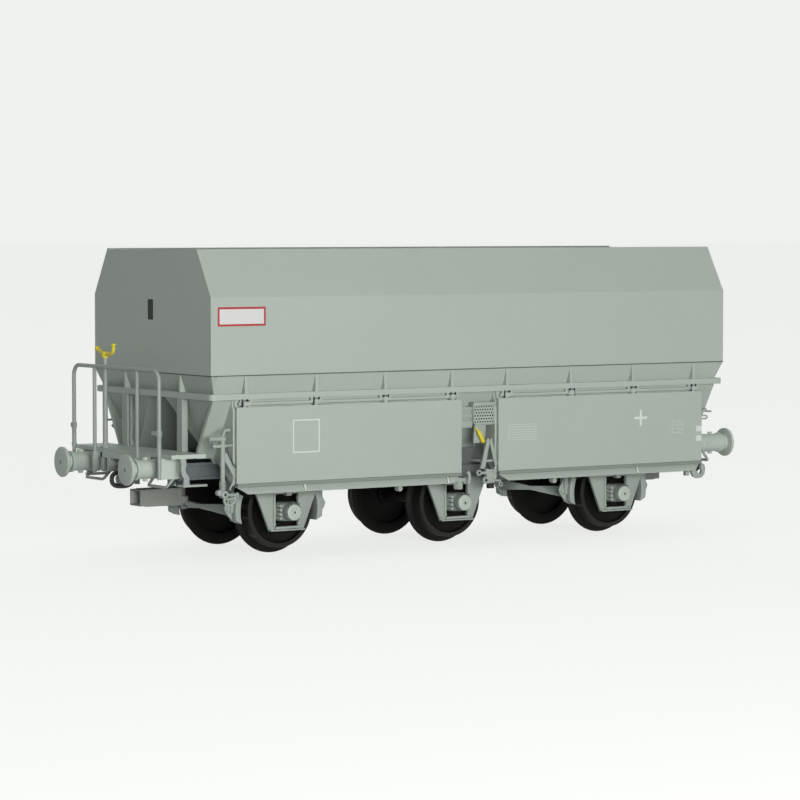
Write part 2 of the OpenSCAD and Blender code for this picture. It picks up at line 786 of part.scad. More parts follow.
// Bent rod under the headstock and the bracket plate, a trapezium in side view
module shunter_handle() {
    r = handle_radius;
    spread = 4.1;
    slope = 1.6;
    foot = headstock_foot_z - handle_drop;
    across(-r, r) polygon([
        [0, headstock_foot_z], [slope, foot], [spread - slope, foot], [spread, headstock_foot_z],
        [spread - 2 * r, headstock_foot_z], [spread - slope - r, foot + 2 * r],
        [slope + r, foot + 2 * r], [2 * r, headstock_foot_z]
    ]);
}

module shunter_handles() {
    color("#6f7873") on_rail() mirror([1, 0, 0]) both_sides()
        translate([headstock_x - headstock_thickness, headstock_half_width - handle_radius - 0.1, 0])
            shunter_handle();
}

// ---- coupling -----------------------------------------------------------------------------

// Hook with its link hanging from it
module coupling_hook() {
    half = 0.3;
    hook_z = 11.7;
    reach = headstock_x + hook_length;
    across(-half, half) polygon([
        [headstock_x, hook_z], [reach - 0.9, hook_z], [reach - 0.1, hook_z + 0.5],
        [reach, hook_z + 1.4], [reach - 0.5, hook_z + 1.3], [reach - 0.7, hook_z + 0.8],
        [reach - 1.0, hook_z + 0.7], [reach - 1.3, hook_z + 1.1], [headstock_x, hook_z + 1.1]
    ]);
}

module coupling_link() {
    pin_z = 12.3;
    foot_z = pin_z - link_length + link_half;
    translate([headstock_x + hook_length / 2 - 0.5, 0, 0]) {
        rod_across(-link_half, link_half, 0, pin_z, link_bar);
        both_sides() rod_up(foot_z, pin_z, 0, link_half, link_bar);
        translate([0, 0, foot_z]) rotate([90, 0, 90])
            rotate_extrude(angle = -180) translate([link_half, 0]) circle(link_bar);
    }
}

module coupling_hooks() color("#3c403e") on_rail() both_ends() {
    coupling_hook();
    coupling_link();
}

module coupler_pocket() {
    half = pocket_width / 2;
    back_wall = 1.2;
    neck_half = 0.9;
    arm_foot_z = pocket_foot_z + 0.2;
    arm_top_z = arm_foot_z + 1;
    difference() {
        block([pocket_back_x, -half, pocket_foot_z], [pocket_mouth_x, half, pocket_top_z]);
        block([pocket_back_x + back_wall, -half + pocket_wall, pocket_foot_z + pocket_wall],
              [pocket_mouth_x + 1, half - pocket_wall, pocket_top_z - pocket_wall]);
    }
    difference() {
        union() {
            block([swing_pin_x, -neck_half, arm_foot_z], [pocket_back_x + joint, neck_half, arm_top_z]);
            rod_up(arm_foot_z, arm_top_z, swing_pin_x, 0, swing_boss_radius);
        }
        rod_up(pocket_foot_z, arm_top_z + 1, swing_pin_x, 0, swing_pin_radius + running_clearance);
    }
}

module coupler_pocket_platform() color("#5f6862") on_rail() mirror([1, 0, 0]) coupler_pocket();

module coupler_pocket_plain() color("#5f6862") on_rail() coupler_pocket();

module buffer() {
    face = length_over_buffers / 2;
    back = face - buffer_head_thickness;
    front = back - plunger_show;
    rod_along(back, face, buffer_y, buffer_z, buffer_head_radius);
    rod_along(front - joint, back + joint, buffer_y, buffer_z, plunger_radius);
    rod_along(headstock_x, front, buffer_y, buffer_z, stock_radius);
}

module buffers_platform() color("#98a29b") on_rail() mirror([1, 0, 0]) both_sides() buffer();

module buffers_plain() color("#98a29b") on_rail() both_sides() buffer();

// ---- wheels -------------------------------------------------------------------------------

module wheel() {
    back = back_to_back / 2;
    tread_back = back + flange_width;
    outer = back + wheel_width;
    flange = wheel_reach;
    hub = 1.6;
    rim = wheel_radius - 0.9;
    rotate([-90, 0, 0]) rotate_extrude($fn = 96) polygon([
        [joint, back - 0.3], [hub, back - 0.3], [hub, back + 0.5], [rim, back + 0.7], [rim, back],
        [flange - 0.25, back], [flange, back + 0.25], [flange - 0.15, back + 0.5],
        [wheel_radius, tread_back], [wheel_radius, outer],
        [rim, outer], [rim, outer - 0.7], [hub, outer - 0.9], [hub, outer], [joint, outer]
    ]);
}

module wheelset(x) {
    journal_start = back_to_back / 2 + wheel_width;
    color("#2a2b2a") translate([x + axle_shift, 0, axle_z + flange_depth]) {
        both_sides() wheel();
        rod_across(-(back_to_back / 2), back_to_back / 2, 0, 0, axle_radius);
        rod_across(-journal_end_y, journal_end_y, 0, 0, journal_radius);
    }
}

module wheelset_platform() wheelset(-axle_spacing);

module wheelset_middle() wheelset(0);

module wheelset_plain() wheelset(axle_spacing);

// ---- axleguards ---------------------------------------------------------------------------

guard_top_z = hopper_foot_z(guard_y) - 0.2;

module axleguard() {
    inner = guard_y - guard_thickness;
    foot_z = axle_z - guard_foot_drop;
    shoulder_z = axle_z + guard_shoulder_rise;
    box_inner = inner - 0.4;
    arm_width = 1.2;
    arm_foot_z = sole_bar_foot_z + sole_bar_flange;
    difference() {
        union() {
            difference() {
                across(inner, guard_y) polygon([
                    [-guard_foot_half, foot_z], [guard_foot_half, foot_z],
                    [guard_top_half, shoulder_z], [guard_top_half, guard_top_z],
                    [-guard_top_half, guard_top_z], [-guard_top_half, shoulder_z]
                ]);
                block([-window_half, inner - 1, axle_z - window_drop],
                      [window_half, guard_y + 1, axle_z + window_rise]);
            }
            block([-window_half, box_inner, axle_z - axlebox_half_height],
                  [window_half, axlebox_y, axle_z + axlebox_half_height]);
            rod_across(axlebox_y - joint, cap_y, 0, axle_z, cap_radius);
        }
        rod_across(box_inner - 1, journal_end_y + 0.2, 0, axle_z, journal_radius + running_clearance);
    }
    // arms to the sole bar
    both_ends() along(guard_top_half - arm_width, guard_top_half) polygon([
        [sole_bar_web_y, arm_foot_z], [sole_bar_web_y, arm_foot_z + guard_thickness],
        [inner + joint, guard_top_z], [inner + joint, guard_top_z - guard_thickness]
    ]);
}

module axleguard_pair(x)
    color("#a3ada5") on_rail() translate([x + axle_shift, 0, 0]) both_sides() axleguard();

module axleguards_platform() axleguard_pair(-axle_spacing);

module axleguards_middle() axleguard_pair(0);

module axleguards_plain() axleguard_pair(axle_spacing);

// ---- brake rigging ------------------------------------------------------------------------

module brake_shoe() {
    outer_y = back_to_back / 2 + wheel_width - 0.2;
    near = wheel_reach + shoe_gap;
    far = near + shoe_thickness;
    intersection() {
        rotate([-90, 0, 0]) translate([0, 0, shoe_y]) difference() {
            cylinder(outer_y - shoe_y, far, far, $fn = 96);
            translate([0, 0, -1]) cylinder(outer_y, near, near, $fn = 96);
        }
        block([0, 0, -shoe_half_height], [far, outer_y, shoe_half_height]);
    }
}

module brake_rigging() {
    near = hanger_x;
    far = hanger_x + hanger_thickness;
    hanger_width = 1.2;
    beam_foot_z = brake_beam_top_z - brake_beam_depth;
    color("#8b958e") on_rail() for (x = [-axle_spacing, axle_spacing])
        translate([x + axle_shift, 0, 0]) both_ends() {
            both_sides() {
                translate([0, 0, axle_z]) brake_shoe();
                // hanger from the sole bar
                block([near, shoe_y, beam_foot_z],
                      [far, shoe_y + hanger_width, sole_bar_foot_z + hanger_thickness]);
                block([near, shoe_y, sole_bar_foot_z],
                      [far, sole_bar_inner_y, sole_bar_foot_z + hanger_thickness]);
            }
            block([near, -shoe_y - joint, beam_foot_z], [far, shoe_y + joint, brake_beam_top_z]);
        }
}

// ---- latch gear and controls --------------------------------------------------------------

// Shaft with its top lever, bearing, foot eye and the strut back to the cheek
module latch() {
    shaft_y = half_width - 0.65;
    bearing_z = latch_top_z - 1.4;
    lever_half = latch_shaft / 2;
    strut_top_z = latch_foot_z + 5.6;
    strut_foot_z = latch_foot_z + 3;
    rod_up(latch_foot_z, latch_top_z + 0.3, 0, shaft_y, latch_shaft);
    rod_along(-0.4, 2.0, shaft_y, latch_top_z, 0.33);
    across(shaft_y - lever_half, shaft_y + lever_half) polygon([
        [-0.2, latch_top_z - 0.2], [0.3, latch_top_z + 0.2],
        [-0.9, latch_top_z + 1.5], [-1.3, latch_top_z + 1.2]
    ]);
    rod_along(-1.6, -0.7, shaft_y, latch_top_z + 1.3, 0.28);
    block([-latch_gap, shaft_y - 0.5, bearing_z], [0, shaft_y, bearing_z + 0.6]);
    across(shaft_y - lever_half, shaft_y + lever_half) polygon([
        [0, strut_top_z], [0, strut_top_z - 0.7], [-latch_gap, strut_foot_z - 0.35],
        [-latch_gap, strut_foot_z + 0.35]
    ]);
    difference() {
        rod_across(shaft_y - 0.3, shaft_y + 0.3, -0.3, latch_foot_z, latch_eye);
        rod_across(shaft_y - 1, shaft_y + 1, -0.5, latch_foot_z - 0.2, latch_eye - 0.7);
    }
    rod_along(-latch_eye - 0.8, -latch_eye + 0.2, shaft_y, latch_foot_z + 0.5, 0.22);
}

module latch_gear() {
    both_ends() translate([door_outer_edge + cheek_overlap + latch_gap, 0, 0]) latch();
}

module latch_gear_front() color("#98a29b") on_body() mirror([0, 1, 0]) latch_gear();

module latch_gear_back() color("#98a29b") on_body() latch_gear();

lever_plate_y = half_width - 1.65;

// Control box, its carrying beam and its lever plate, on the flank between the doors
module control_box() {
    start = -0.8;
    box_y = half_width - 0.75;
    seat_z = control_top_z - 1;
    beam_foot_z = control_beam_z - control_beam_depth;
    along(start, start + control_length) polygon([
        [flank_y(control_top_z), control_top_z], [box_y, control_top_z], [box_y, control_foot_z],
        [flank_y(seat_z), control_foot_z], [flank_y(seat_z), seat_z]
    ]);
    along(cheek_overlap - door_inner_edge, start + joint) polygon([
        [flank_y(control_beam_z), control_beam_z], [lever_plate_y, control_beam_z],
        [lever_plate_y, beam_foot_z], [flank_y(beam_foot_z), beam_foot_z]
    ]);
    block([start, lever_plate_y - 0.4, lever_plate_z],
          [start + 2.4, lever_plate_y, control_foot_z + joint]);
}

// Inverted V strut between the doors, on a bracket from the middle axleguard
module control_strut() {
    apex_x = 1.75;
    spread = 1.2;
    half = 0.35;
    outer_y = half_width - 0.05;
    inner_y = outer_y - 0.5;
    bracket_z = guard_top_z - 2 * half;
    across(inner_y, outer_y) for (side = [-1, 1]) polygon([
        [apex_x - half, strut_top_z], [apex_x + half, strut_top_z],
        [apex_x + half + side * spread, strut_foot_z], [apex_x - half + side * spread, strut_foot_z]
    ]);
    block([apex_x - spread, guard_y, bracket_z],
          [apex_x + spread, inner_y + joint, bracket_z + half]);
}

module control_side() {
    control_box();
    control_strut();
}

module control_box_front() color("#b0bab1") on_body() mirror([0, 1, 0]) control_side();

module control_box_back() color("#b0bab1") on_body() mirror([1, 0, 0]) control_side();

module control_lever() {
    pivot_z = control_foot_z - 0.6;
    y = lever_plate_y;
    across(y, y + 0.3) polygon([
        [-0.3, pivot_z + 0.1], [0.3, pivot_z - 0.1], [1.1, pivot_z - 1.8], [0.6, pivot_z - 2]
    ]);
}

module control_levers() color("#e2c81e") on_body() {
    mirror([0, 1, 0]) control_lever();
    mirror([1, 0, 0]) control_lever();
}

side_wall_front();
side_wall_back();
end_wall_platform();
end_wall_plain();
hopper_saddle();
hopper_end_platform();
hopper_end_plain();
hopper_flank_front();
hopper_flank_back();
waist_frame();
end_posts();
door_front_platform();
door_front_plain();
door_back_platform();
door_back_plain();
chute_front();
chute_back();
underframe();
headstock_platform();
headstock_plain();
platform();
handrail();
brake_column();
brake_crank();
footsteps();
shunter_handles();
coupling_hooks();
coupler_pocket_platform();
coupler_pocket_plain();
buffers_platform();
buffers_plain();
wheelset_platform();
wheelset_middle();
wheelset_plain();
axleguards_platform();
axleguards_middle();
axleguards_plain();
brake_rigging();
latch_gear_front();
latch_gear_back();
control_box_front();
control_box_back();
control_levers();
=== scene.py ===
import bpy
import bmesh
import math
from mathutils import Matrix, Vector


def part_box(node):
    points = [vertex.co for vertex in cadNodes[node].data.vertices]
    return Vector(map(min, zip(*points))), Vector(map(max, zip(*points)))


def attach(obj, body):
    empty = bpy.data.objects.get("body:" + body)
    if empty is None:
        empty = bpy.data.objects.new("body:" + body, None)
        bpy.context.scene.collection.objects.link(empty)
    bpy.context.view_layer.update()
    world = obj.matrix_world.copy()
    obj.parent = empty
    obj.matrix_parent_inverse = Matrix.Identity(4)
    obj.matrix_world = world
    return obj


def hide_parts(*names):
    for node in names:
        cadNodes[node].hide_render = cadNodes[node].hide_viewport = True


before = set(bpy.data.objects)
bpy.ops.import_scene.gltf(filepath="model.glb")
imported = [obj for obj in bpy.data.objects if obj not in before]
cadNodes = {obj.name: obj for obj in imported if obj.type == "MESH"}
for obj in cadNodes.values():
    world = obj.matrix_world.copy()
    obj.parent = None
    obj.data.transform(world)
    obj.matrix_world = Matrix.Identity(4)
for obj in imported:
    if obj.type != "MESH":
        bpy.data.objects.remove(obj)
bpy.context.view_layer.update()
print("frame loaded,", len(cadNodes), "nodes")

mm = 0.001
railTop = 0.9            # the rail top above the flange foot, mm
bodyShift = 1.55         # hopper body centre towards the plain end, mm


# a CAD node's two corners in mm, with heights above the rail top
def boxOf(nodeName):
    return [(x / mm, y / mm, z / mm - railTop) for x, y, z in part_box(nodeName)]


axlePlaces = {}
for label in ("platform", "middle", "plain"):
    low, high = boxOf("wheelset_" + label)
    axlePlaces[label] = (low[0] + high[0]) / 2

# where the camera stands, which way it looks and how far it sees
view = {
    "place": (-0.28400, -0.42366, 0.04869), "yaw": 33.70, "pitch": -3.068,
    "lens": 148.85, "sensor": 36.0, "near": 0.01, "far": 20.0,
}

cameraData = bpy.data.cameras.new("studioCamera")
cameraData.lens = view["lens"]
cameraData.sensor_width = view["sensor"]
cameraData.clip_start = view["near"]
cameraData.clip_end = view["far"]
studioCamera = bpy.data.objects.new("studioCamera", cameraData)
studioCamera.location = view["place"]
studioCamera.rotation_euler = (math.radians(90 + view["pitch"]), 0, math.radians(-view["yaw"]))
bpy.context.scene.collection.objects.link(studioCamera)
bpy.context.scene.camera = studioCamera


# a socket with the operators that the materials use
class Signal:
    def __init__(self, finish, socket):
        self.finish = finish
        self.socket = socket

    def maths(self, operation, *values):
        node = self.finish.node("ShaderNodeMath", {"operation": operation}, dict(enumerate(values)))
        return Signal(self.finish, node.outputs[0])

    def __add__(self, other): return self.maths("ADD", self, other)
    def __radd__(self, other): return self.maths("ADD", other, self)
    def __sub__(self, other): return self.maths("SUBTRACT", self, other)
    def __rsub__(self, other): return self.maths("SUBTRACT", other, self)
    def __mul__(self, other): return self.maths("MULTIPLY", self, other)
    def __rmul__(self, other): return self.maths("MULTIPLY", other, self)
    def clamped(self, low=0.0, high=1.0): return self.maths("MINIMUM", self.maths("MAXIMUM", self, low), high)


class Finish:
    # a material, or the surroundings when a world is handed over
    def __init__(self, name, world=None):
        self.material = world or bpy.data.materials.new(name)
        self.material.use_nodes = True
        self.tree = self.material.node_tree
        self.tree.nodes.clear()
        self.output = self.node("ShaderNodeOutputWorld" if world else "ShaderNodeOutputMaterial")

    def node(self, kind, settings=None, inputs=None):
        made = self.tree.nodes.new(kind)
        for name, value in (settings or {}).items():
            if name == "stops":
                ramp = made.color_ramp
                for index, (place, colour) in enumerate(value):
                    stop = ramp.elements[index] if index < 2 else ramp.elements.new(place)
                    stop.position, stop.color = place, colour
            else:
                setattr(made, name, value)
        for name, value in (inputs or {}).items():
            if isinstance(value, Signal):
                self.tree.links.new(value.socket, made.inputs[name])
            else:
                made.inputs[name].default_value = value
        return made

    def seen(self):
        path = self.node("ShaderNodeLightPath")
        rays = [self.signal(path, "Is " + ray + " Ray") for ray in ("Camera", "Glossy", "Transmission")]
        return (rays[0] + rays[1] + rays[2]).clamped()

    def blend(self, factor, first, second):
        return self.node("ShaderNodeMixShader", None, {0: factor, 1: self.signal(first), 2: self.signal(second)})

    def surface(self, shader):
        self.tree.links.new(shader.outputs[0], self.output.inputs[0])

    def signal(self, made, name=0):
        return Signal(self, made.outputs[name])

    def noise(self, scale, detail=2.0, roughness=0.5, stretch=(1, 1, 1)):
        place = self.signal(self.node("ShaderNodeTexCoord"), "Object")
        moved = self.signal(self.node("ShaderNodeMapping", None, {"Vector": place, "Scale": stretch}))
        made = self.node("ShaderNodeTexNoise", {"noise_dimensions": "3D"},
                         {"Vector": moved, "Scale": scale, "Detail": detail, "Roughness": roughness})
        return self.signal(made)

    def bump(self, height, strength, distance, normal=None):
        inputs = {"Strength": strength, "Distance": distance, "Height": height}
        if normal:
            inputs["Normal"] = normal
        return self.signal(self.node("ShaderNodeBump", None, inputs), "Normal")

    def mix(self, factor, low, high):
        made = self.node("ShaderNodeMix", {"data_type": "RGBA"}, {0: factor})
        for slotIndex, value in ((6, low), (7, high)):
            if isinstance(value, Signal):
                self.tree.links.new(value.socket, made.inputs[slotIndex])
            else:
                made.inputs[slotIndex].default_value = (*value[:3], 1.0)
        return Signal(self, made.outputs[2])

    def close(self, colour, roughness, specular, normal=None):
        inputs = {"Base Color": colour, "Roughness": roughness, "Specular IOR Level": specular}
        if normal:
            inputs["Normal"] = normal
        self.surface(self.node("ShaderNodeBsdfPrincipled", None, inputs))
        return self.material


def shade(colour, amount):
    return tuple(min(1.0, c * amount) for c in colour)


# sprayed satin paint on moulded plastic: soft blotches, a fine grain, rounded edges with a painted highlight
satin = {
    "wide": (70.0, 3.0), "fine": (900.0, 2.0), "speck": (9000.0, 2.0, 0.6), "share": 0.6, "blotch": 0.05,
    "edgeRadius": 0.00012, "edgeGain": 6.0, "edgeCover": 0.4, "edgeHighlightTone": 1.25,
    "bump": 0.35, "grain": 0.000012, "roughSpread": 0.12, "specular": 0.35,
}


def satinPaint(name, colour, rough=0.46):
    f = Finish(name)
    wide, fine, speck = (f.noise(*satin[key]) for key in ("wide", "fine", "speck"))
    rounded = f.signal(f.node("ShaderNodeBevel", {"samples": 4}, {"Radius": satin["edgeRadius"]}), "Normal")
    plain = f.signal(f.node("ShaderNodeNewGeometry"), "Normal")
    facing = f.signal(f.node("ShaderNodeVectorMath", {"operation": "DOT_PRODUCT"}, {0: rounded, 1: plain}), "Value")
    turned = ((1.0 - facing) * satin["edgeGain"]).clamped()
    tone = (wide * satin["share"] + fine * (1.0 - satin["share"])).clamped()
    body = f.mix(tone, shade(colour, 1.0 - satin["blotch"]), shade(colour, 1.0 + satin["blotch"]))
    # the paler edges mixed in here are a painted highlight along the rounded edges
    edgeHighlighted = f.mix(turned * satin["edgeCover"], body, shade(colour, satin["edgeHighlightTone"]))
    normal = f.bump(speck + fine * satin["share"], satin["bump"], satin["grain"], rounded)
    return f.close(edgeHighlighted, rough + (fine - 0.5) * satin["roughSpread"], satin["specular"], normal)


# painted wire and turned metal, blackened steel with turning marks round the axle, and thin printed ink
wire = {"streak": (1500.0, 2.0, 0.5, (0.2, 1.0, 0.2)), "fine": (7000.0, 2.0), "tones": (0.92, 1.08),
        "roughSpread": 0.15, "bump": 0.3, "depth": 0.00001, "specular": 0.4}
steel = {"cloud": (500.0, 3.0), "marks": (4000.0, 2.0, 0.5, (0.15, 1.0, 0.15)), "tones": (0.8, 1.25),
         "roughSpread": 0.18, "bump": 0.25, "depth": 0.00001}
inkLook = {"cover": (2600.0, 3.0), "tones": (0.9, 1.04), "roughSpread": 0.1, "specular": 0.3}


def toned(f, factor, colour, tones):
    return f.mix(factor, shade(colour, tones[0]), shade(colour, tones[1]))


def wirePaint(name, colour, rough=0.42):
    f = Finish(name)
    streak, fine = f.noise(*wire["streak"]), f.noise(*wire["fine"])
    return f.close(toned(f, streak, colour, wire["tones"]), rough + (streak - 0.5) * wire["roughSpread"],
                   wire["specular"], f.bump(fine, wire["bump"], wire["depth"]))


def wheelSteel(name, colour, rough, specular):
    f = Finish(name)
    cloud, marks = f.noise(*steel["cloud"]), f.noise(*steel["marks"])
    return f.close(toned(f, cloud, colour, steel["tones"]), rough + (marks - 0.5) * steel["roughSpread"],
                   specular, f.bump(marks, steel["bump"], steel["depth"]))


def printInk(name, colour, rough=0.5):
    f = Finish(name)
    cover = f.noise(*inkLook["cover"])
    return f.close(toned(f, cover, colour, inkLook["tones"]), rough + (cover - 0.5) * inkLook["roughSpread"],
                   inkLook["specular"])


bodyColour = (0.405, 0.460, 0.413)
finishes = {
    "body": satinPaint("bodyPaint", bodyColour),
    # a darker copy of the body paint for the hopper saddle and ends: painted shade
    "bodyShaded": satinPaint("underPaint", shade(bodyColour, 0.93)),
    "frame": satinPaint("framePaint", shade(bodyColour, 0.84), 0.5),
    # a lighter copy of the body paint for the buffers and axlebox caps: painted light
    "buffer": satinPaint("bufferPaint", shade(bodyColour, 1.14), 0.46),
    "sole": satinPaint("soleBarPaint", (0.115, 0.132, 0.139), 0.5),
    # a darker copy of the body paint for the axlebox block and barrel: painted shade
    "barrel": satinPaint("axleboxPaint", shade(bodyColour, 0.52), 0.5),
    # a darker copy of the body paint for the strips in the door gaps: painted shade
    "strip": satinPaint("doorGapPaint", shade(bodyColour, 0.55), 0.5),
    # near black for the channel in the gap between the doors: painted shade
    "shade": satinPaint("gapPaint", (0.105, 0.115, 0.112), 0.6),
    # a lighter copy of the body paint for the platform: painted light
    "platform": satinPaint("platformPaint", shade(bodyColour, 1.2), 0.5),
    "wire": wirePaint("wirePaint", (0.31, 0.345, 0.32)),
    "yellow": wirePaint("signalYellow", (0.70, 0.60, 0.035), 0.4),
    "wheel": wheelSteel("wheelBlack", (0.0065, 0.0062, 0.0055), 0.6, 0.10),
    "inner": satinPaint("pocketInside", (0.42, 0.43, 0.40), 0.5),
    "tyre": wheelSteel("tyreSteel", (0.020, 0.0195, 0.0185), 0.5, 0.16),
    "pocket": satinPaint("pocketPlastic", (0.225, 0.240, 0.215), 0.5),
    "black": wirePaint("blackPlastic", (0.022, 0.022, 0.022), 0.45),
    # dark grey for the wall seams: the seam's painted shadow
    "joint": printInk("jointLine", (0.10, 0.115, 0.105), 0.7),
    # near black: painted shade in bores, slots and holes, and the ink of the dark end plate
    "hole": printInk("darkHole", (0.02, 0.022, 0.02), 0.7),
    "white": printInk("whiteInk", (0.66, 0.72, 0.67)),
    "faint": printInk("faintInk", (0.56, 0.60, 0.57)),
    "plate": printInk("plateWhite", (0.68, 0.68, 0.665)),
    "red": printInk("plateRed", (0.42, 0.045, 0.045)),
}
print("finishes made,", len(finishes))

nodeFinish = {
    "side_wall": "body", "end_wall": "body", "hopper_saddle": "bodyShaded", "hopper_end": "bodyShaded",
    "hopper_flank": "body", "waist_frame": "body", "end_posts": "frame", "door_": "body", "chute": "body",
    "underframe": "sole", "headstock": "frame", "platform": "platform", "handrail": "wire",
    "brake_column": "wire", "brake_crank": "yellow", "footsteps": "platform", "shunter_handles": "wire",
    "coupling_hooks": "black", "coupler_pocket": "pocket", "buffers": "frame", "wheelset": "wheel",
    "axleguards": "frame", "brake_rigging": "frame", "latch_gear": "frame", "control_box": "body",
    "control_levers": "yellow",
}
for nodeName, node in cadNodes.items():
    key = next(k for k in nodeFinish if nodeName.startswith(k))
    node.data.materials.clear()
    node.data.materials.append(finishes[nodeFinish[key]])


# a mesh in the making, drawn in mm with heights above the rail top
class Shape:
    def __init__(self):
        self.points, self.faces, self.inks = [], [], []

    def add(self, points, faces, ink=0):
        start = len(self.points)
        self.points += [tuple(p) for p in points]
        self.faces += [tuple(start + i for i in face) for face in faces]
        self.inks += [ink] * len(faces)
        return self

    def slab(self, outline, axis, low, high, ink=0):
        count = len(outline)
        place = {"x": lambda a, b, c: (c, a, b), "y": lambda a, b, c: (a, c, b), "z": lambda a, b, c: (a, b, c)}[axis]
        points = [place(a, b, level) for level in sorted((low, high)) for a, b in outline]
        faces = [tuple(range(count))[::-1], tuple(range(count, 2 * count))]
        faces += [(i, (i + 1) % count, count + (i + 1) % count, count + i) for i in range(count)]
        return self.add(points, faces, ink)

    # parts are method names with their arguments
    def build(self, parts):
        for kind, *values in parts:
            getattr(self, kind)(*values)
        return self

    # a box between any two opposite corners
    def box(self, one, other, ink=0):
        low, high = zip(*(sorted(pair) for pair in zip(one, other)))
        outline = [(low[0], low[1]), (high[0], low[1]), (high[0], high[1]), (low[0], high[1])]
        return self.slab(outline, "z", low[2], high[2], ink)

    # a turned boss that faces the front, with a disc of painted shade in its bore
    def boss(self, place, outer, inner):
        profile = [(-0.22, 0), (-0.22, outer), (0.1, outer), (0.2, outer - 0.1),
                   (0.2, inner + 0.04), (0.12, inner), (0.12, 0)]
        self.lathe(profile, place, "y", 24, 0, -1)
        return self.drum(0.12, 0.15, inner, place, "y", 14, 1, -1)

    # a short round bar along an axis, between two places measured from the centre
    def drum(self, start, end, radius, centre, axis, sides, ink=0, direction=1):
        return self.lathe([(start, 0), (start, radius), (end, radius), (end, 0)], centre, axis, sides, ink, direction)

    # profile is (distance along the axis, radius); ends at radius 0 are closed to a pole
    def lathe(self, profile, centre, axis, sides=40, ink=0, direction=1):
        rings, points, faces = [], [], []
        for along, radius in profile:
            ring = []
            for k in range(1 if radius < 1e-6 else sides):
                angle = 2 * math.pi * k / sides
                u, w, d = radius * math.cos(angle), radius * math.sin(angle), along * direction
                offset = {"x": (d, u, w), "y": (w, d, u), "z": (u, w, d)}[axis]
                ring.append(len(points))
                points.append(tuple(centre[i] + offset[i] for i in range(3)))
            rings.append(ring)
        for first, second in zip(rings, rings[1:]):
            for k in range(sides):
                quad = [first[k % len(first)], first[(k + 1) % len(first)],
                        second[(k + 1) % len(second)], second[k % len(second)]]
                face = tuple(dict.fromkeys(quad))
                if len(face) > 2:
                    faces.append(face)
        for ring, flip in ((rings[0], True), (rings[-1], False)):
            if len(ring) > 1:
                faces.append(tuple(ring[::-1] if flip else ring))
        return self.add(points, faces, ink)

    # a closed profile turned round an axis, for rings and bushes
    def ring(self, profile, centre, axis, sides=32, ink=0):
        self.lathe(profile, centre, axis, sides, ink)
        del self.faces[-2:], self.inks[-2:]
        return self

    # a round bar through points, with flat ends
    def bar(self, path, radius, sides=14, ink=0):
        path = [Vector(p) for p in path]
        points = []
        ahead, behind = path[1:] + path[-1:], path[:1] + path[:-1]
        tangents = [(a - b).normalized() for a, b in zip(ahead, behind)]
        side = tangents[0].orthogonal().normalized()
        for place, tangent in zip(path, tangents):
            side = (side - tangent * side.dot(tangent)).normalized()
            other = tangent.cross(side)
            for k in range(sides):
                angle = 2 * math.pi * k / sides
                points.append(place + side * radius * math.cos(angle) + other * radius * math.sin(angle))
        return self.skin(points, len(path), sides, ink)

    # points in closed loops of equal length, joined loop to loop and capped at both ends
    def skin(self, points, loops, sides, ink=0):
        faces = []
        for start in range(0, (loops - 1) * sides, sides):
            for k in range(sides):
                n = (k + 1) % sides
                faces.append((start + k, start + n, start + sides + n, start + sides + k))
        last = (loops - 1) * sides
        faces += [tuple(range(sides))[::-1], tuple(range(last, last + sides))]
        return self.add(points, faces, ink)

    def ball(self, centre, radius, sides=20, ink=0):
        steps = 10
        turns = [math.pi * i / steps for i in range(1, steps)]
        profile = [(-radius * math.cos(a), radius * math.sin(a)) for a in turns]
        return self.lathe([(-radius, 0)] + profile + [(radius, 0)], centre, "z", sides, ink)

    def copied(self, scale=(1, 1, 1), shift=(0, 0, 0)):
        made = Shape()
        flip = scale[0] * scale[1] * scale[2] < 0
        made.points = [tuple(p[i] * scale[i] + shift[i] for i in range(3)) for p in self.points]
        made.faces = [f[::-1] if flip else f for f in self.faces]
        made.inks = list(self.inks)
        return made

    def join(self, *others):
        for other in others:
            start = len(self.points)
            self.points += other.points
            self.faces += [tuple(start + i for i in face) for face in other.faces]
            self.inks += other.inks
        return self

    def bothSides(self): return self.join(self.copied((1, -1, 1)))
    def bothEnds(self): return self.join(self.copied((-1, 1, 1)))

    def mesh(self, name, materials):
        data = bpy.data.meshes.new(name)
        data.from_pydata([(x * mm, y * mm, (z + railTop) * mm) for x, y, z in self.points], [], self.faces)
        for ink in materials:
            data.materials.append(finishes[ink])
        data.polygons.foreach_set("material_index", self.inks)
        data.update()
        work = bmesh.new()
        work.from_mesh(data)
        bmesh.ops.remove_doubles(work, verts=work.verts, dist=1e-7)
        bmesh.ops.recalc_face_normals(work, faces=work.faces)
        work.to_mesh(data)
        work.free()
        return data


def settled(piece, sharp=35):
    made = bpy.data.meshes.new_from_object(piece.evaluated_get(bpy.context.evaluated_depsgraph_get()))
    made.name = piece.name
    piece.modifiers.clear()
    piece.data = made
    made.polygons.foreach_set("use_smooth", [True] * len(made.polygons))
    made.set_sharp_from_angle(angle=math.radians(sharp))
    return piece


softEdge = {"segments": 2, "angle": 40}


# a finished shape becomes a piece that rides a body and stands for the CAD nodes it replaces
def pieceFrom(shape, name, materials, replaced=(), bevel=0.0, body="wagon"):
    piece = bpy.data.objects.new(name, shape.mesh(name, materials))
    bpy.context.scene.collection.objects.link(piece)
    if bevel:
        edge = piece.modifiers.new("softEdges", "BEVEL")
        edge.width = bevel * mm
        edge.segments = softEdge["segments"]
        edge.limit_method = "ANGLE"
        edge.angle_limit = math.radians(softEdge["angle"])
        edge.use_clamp_overlap = True
    settled(piece)
    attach(piece, body)
    if replaced:
        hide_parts(*replaced)


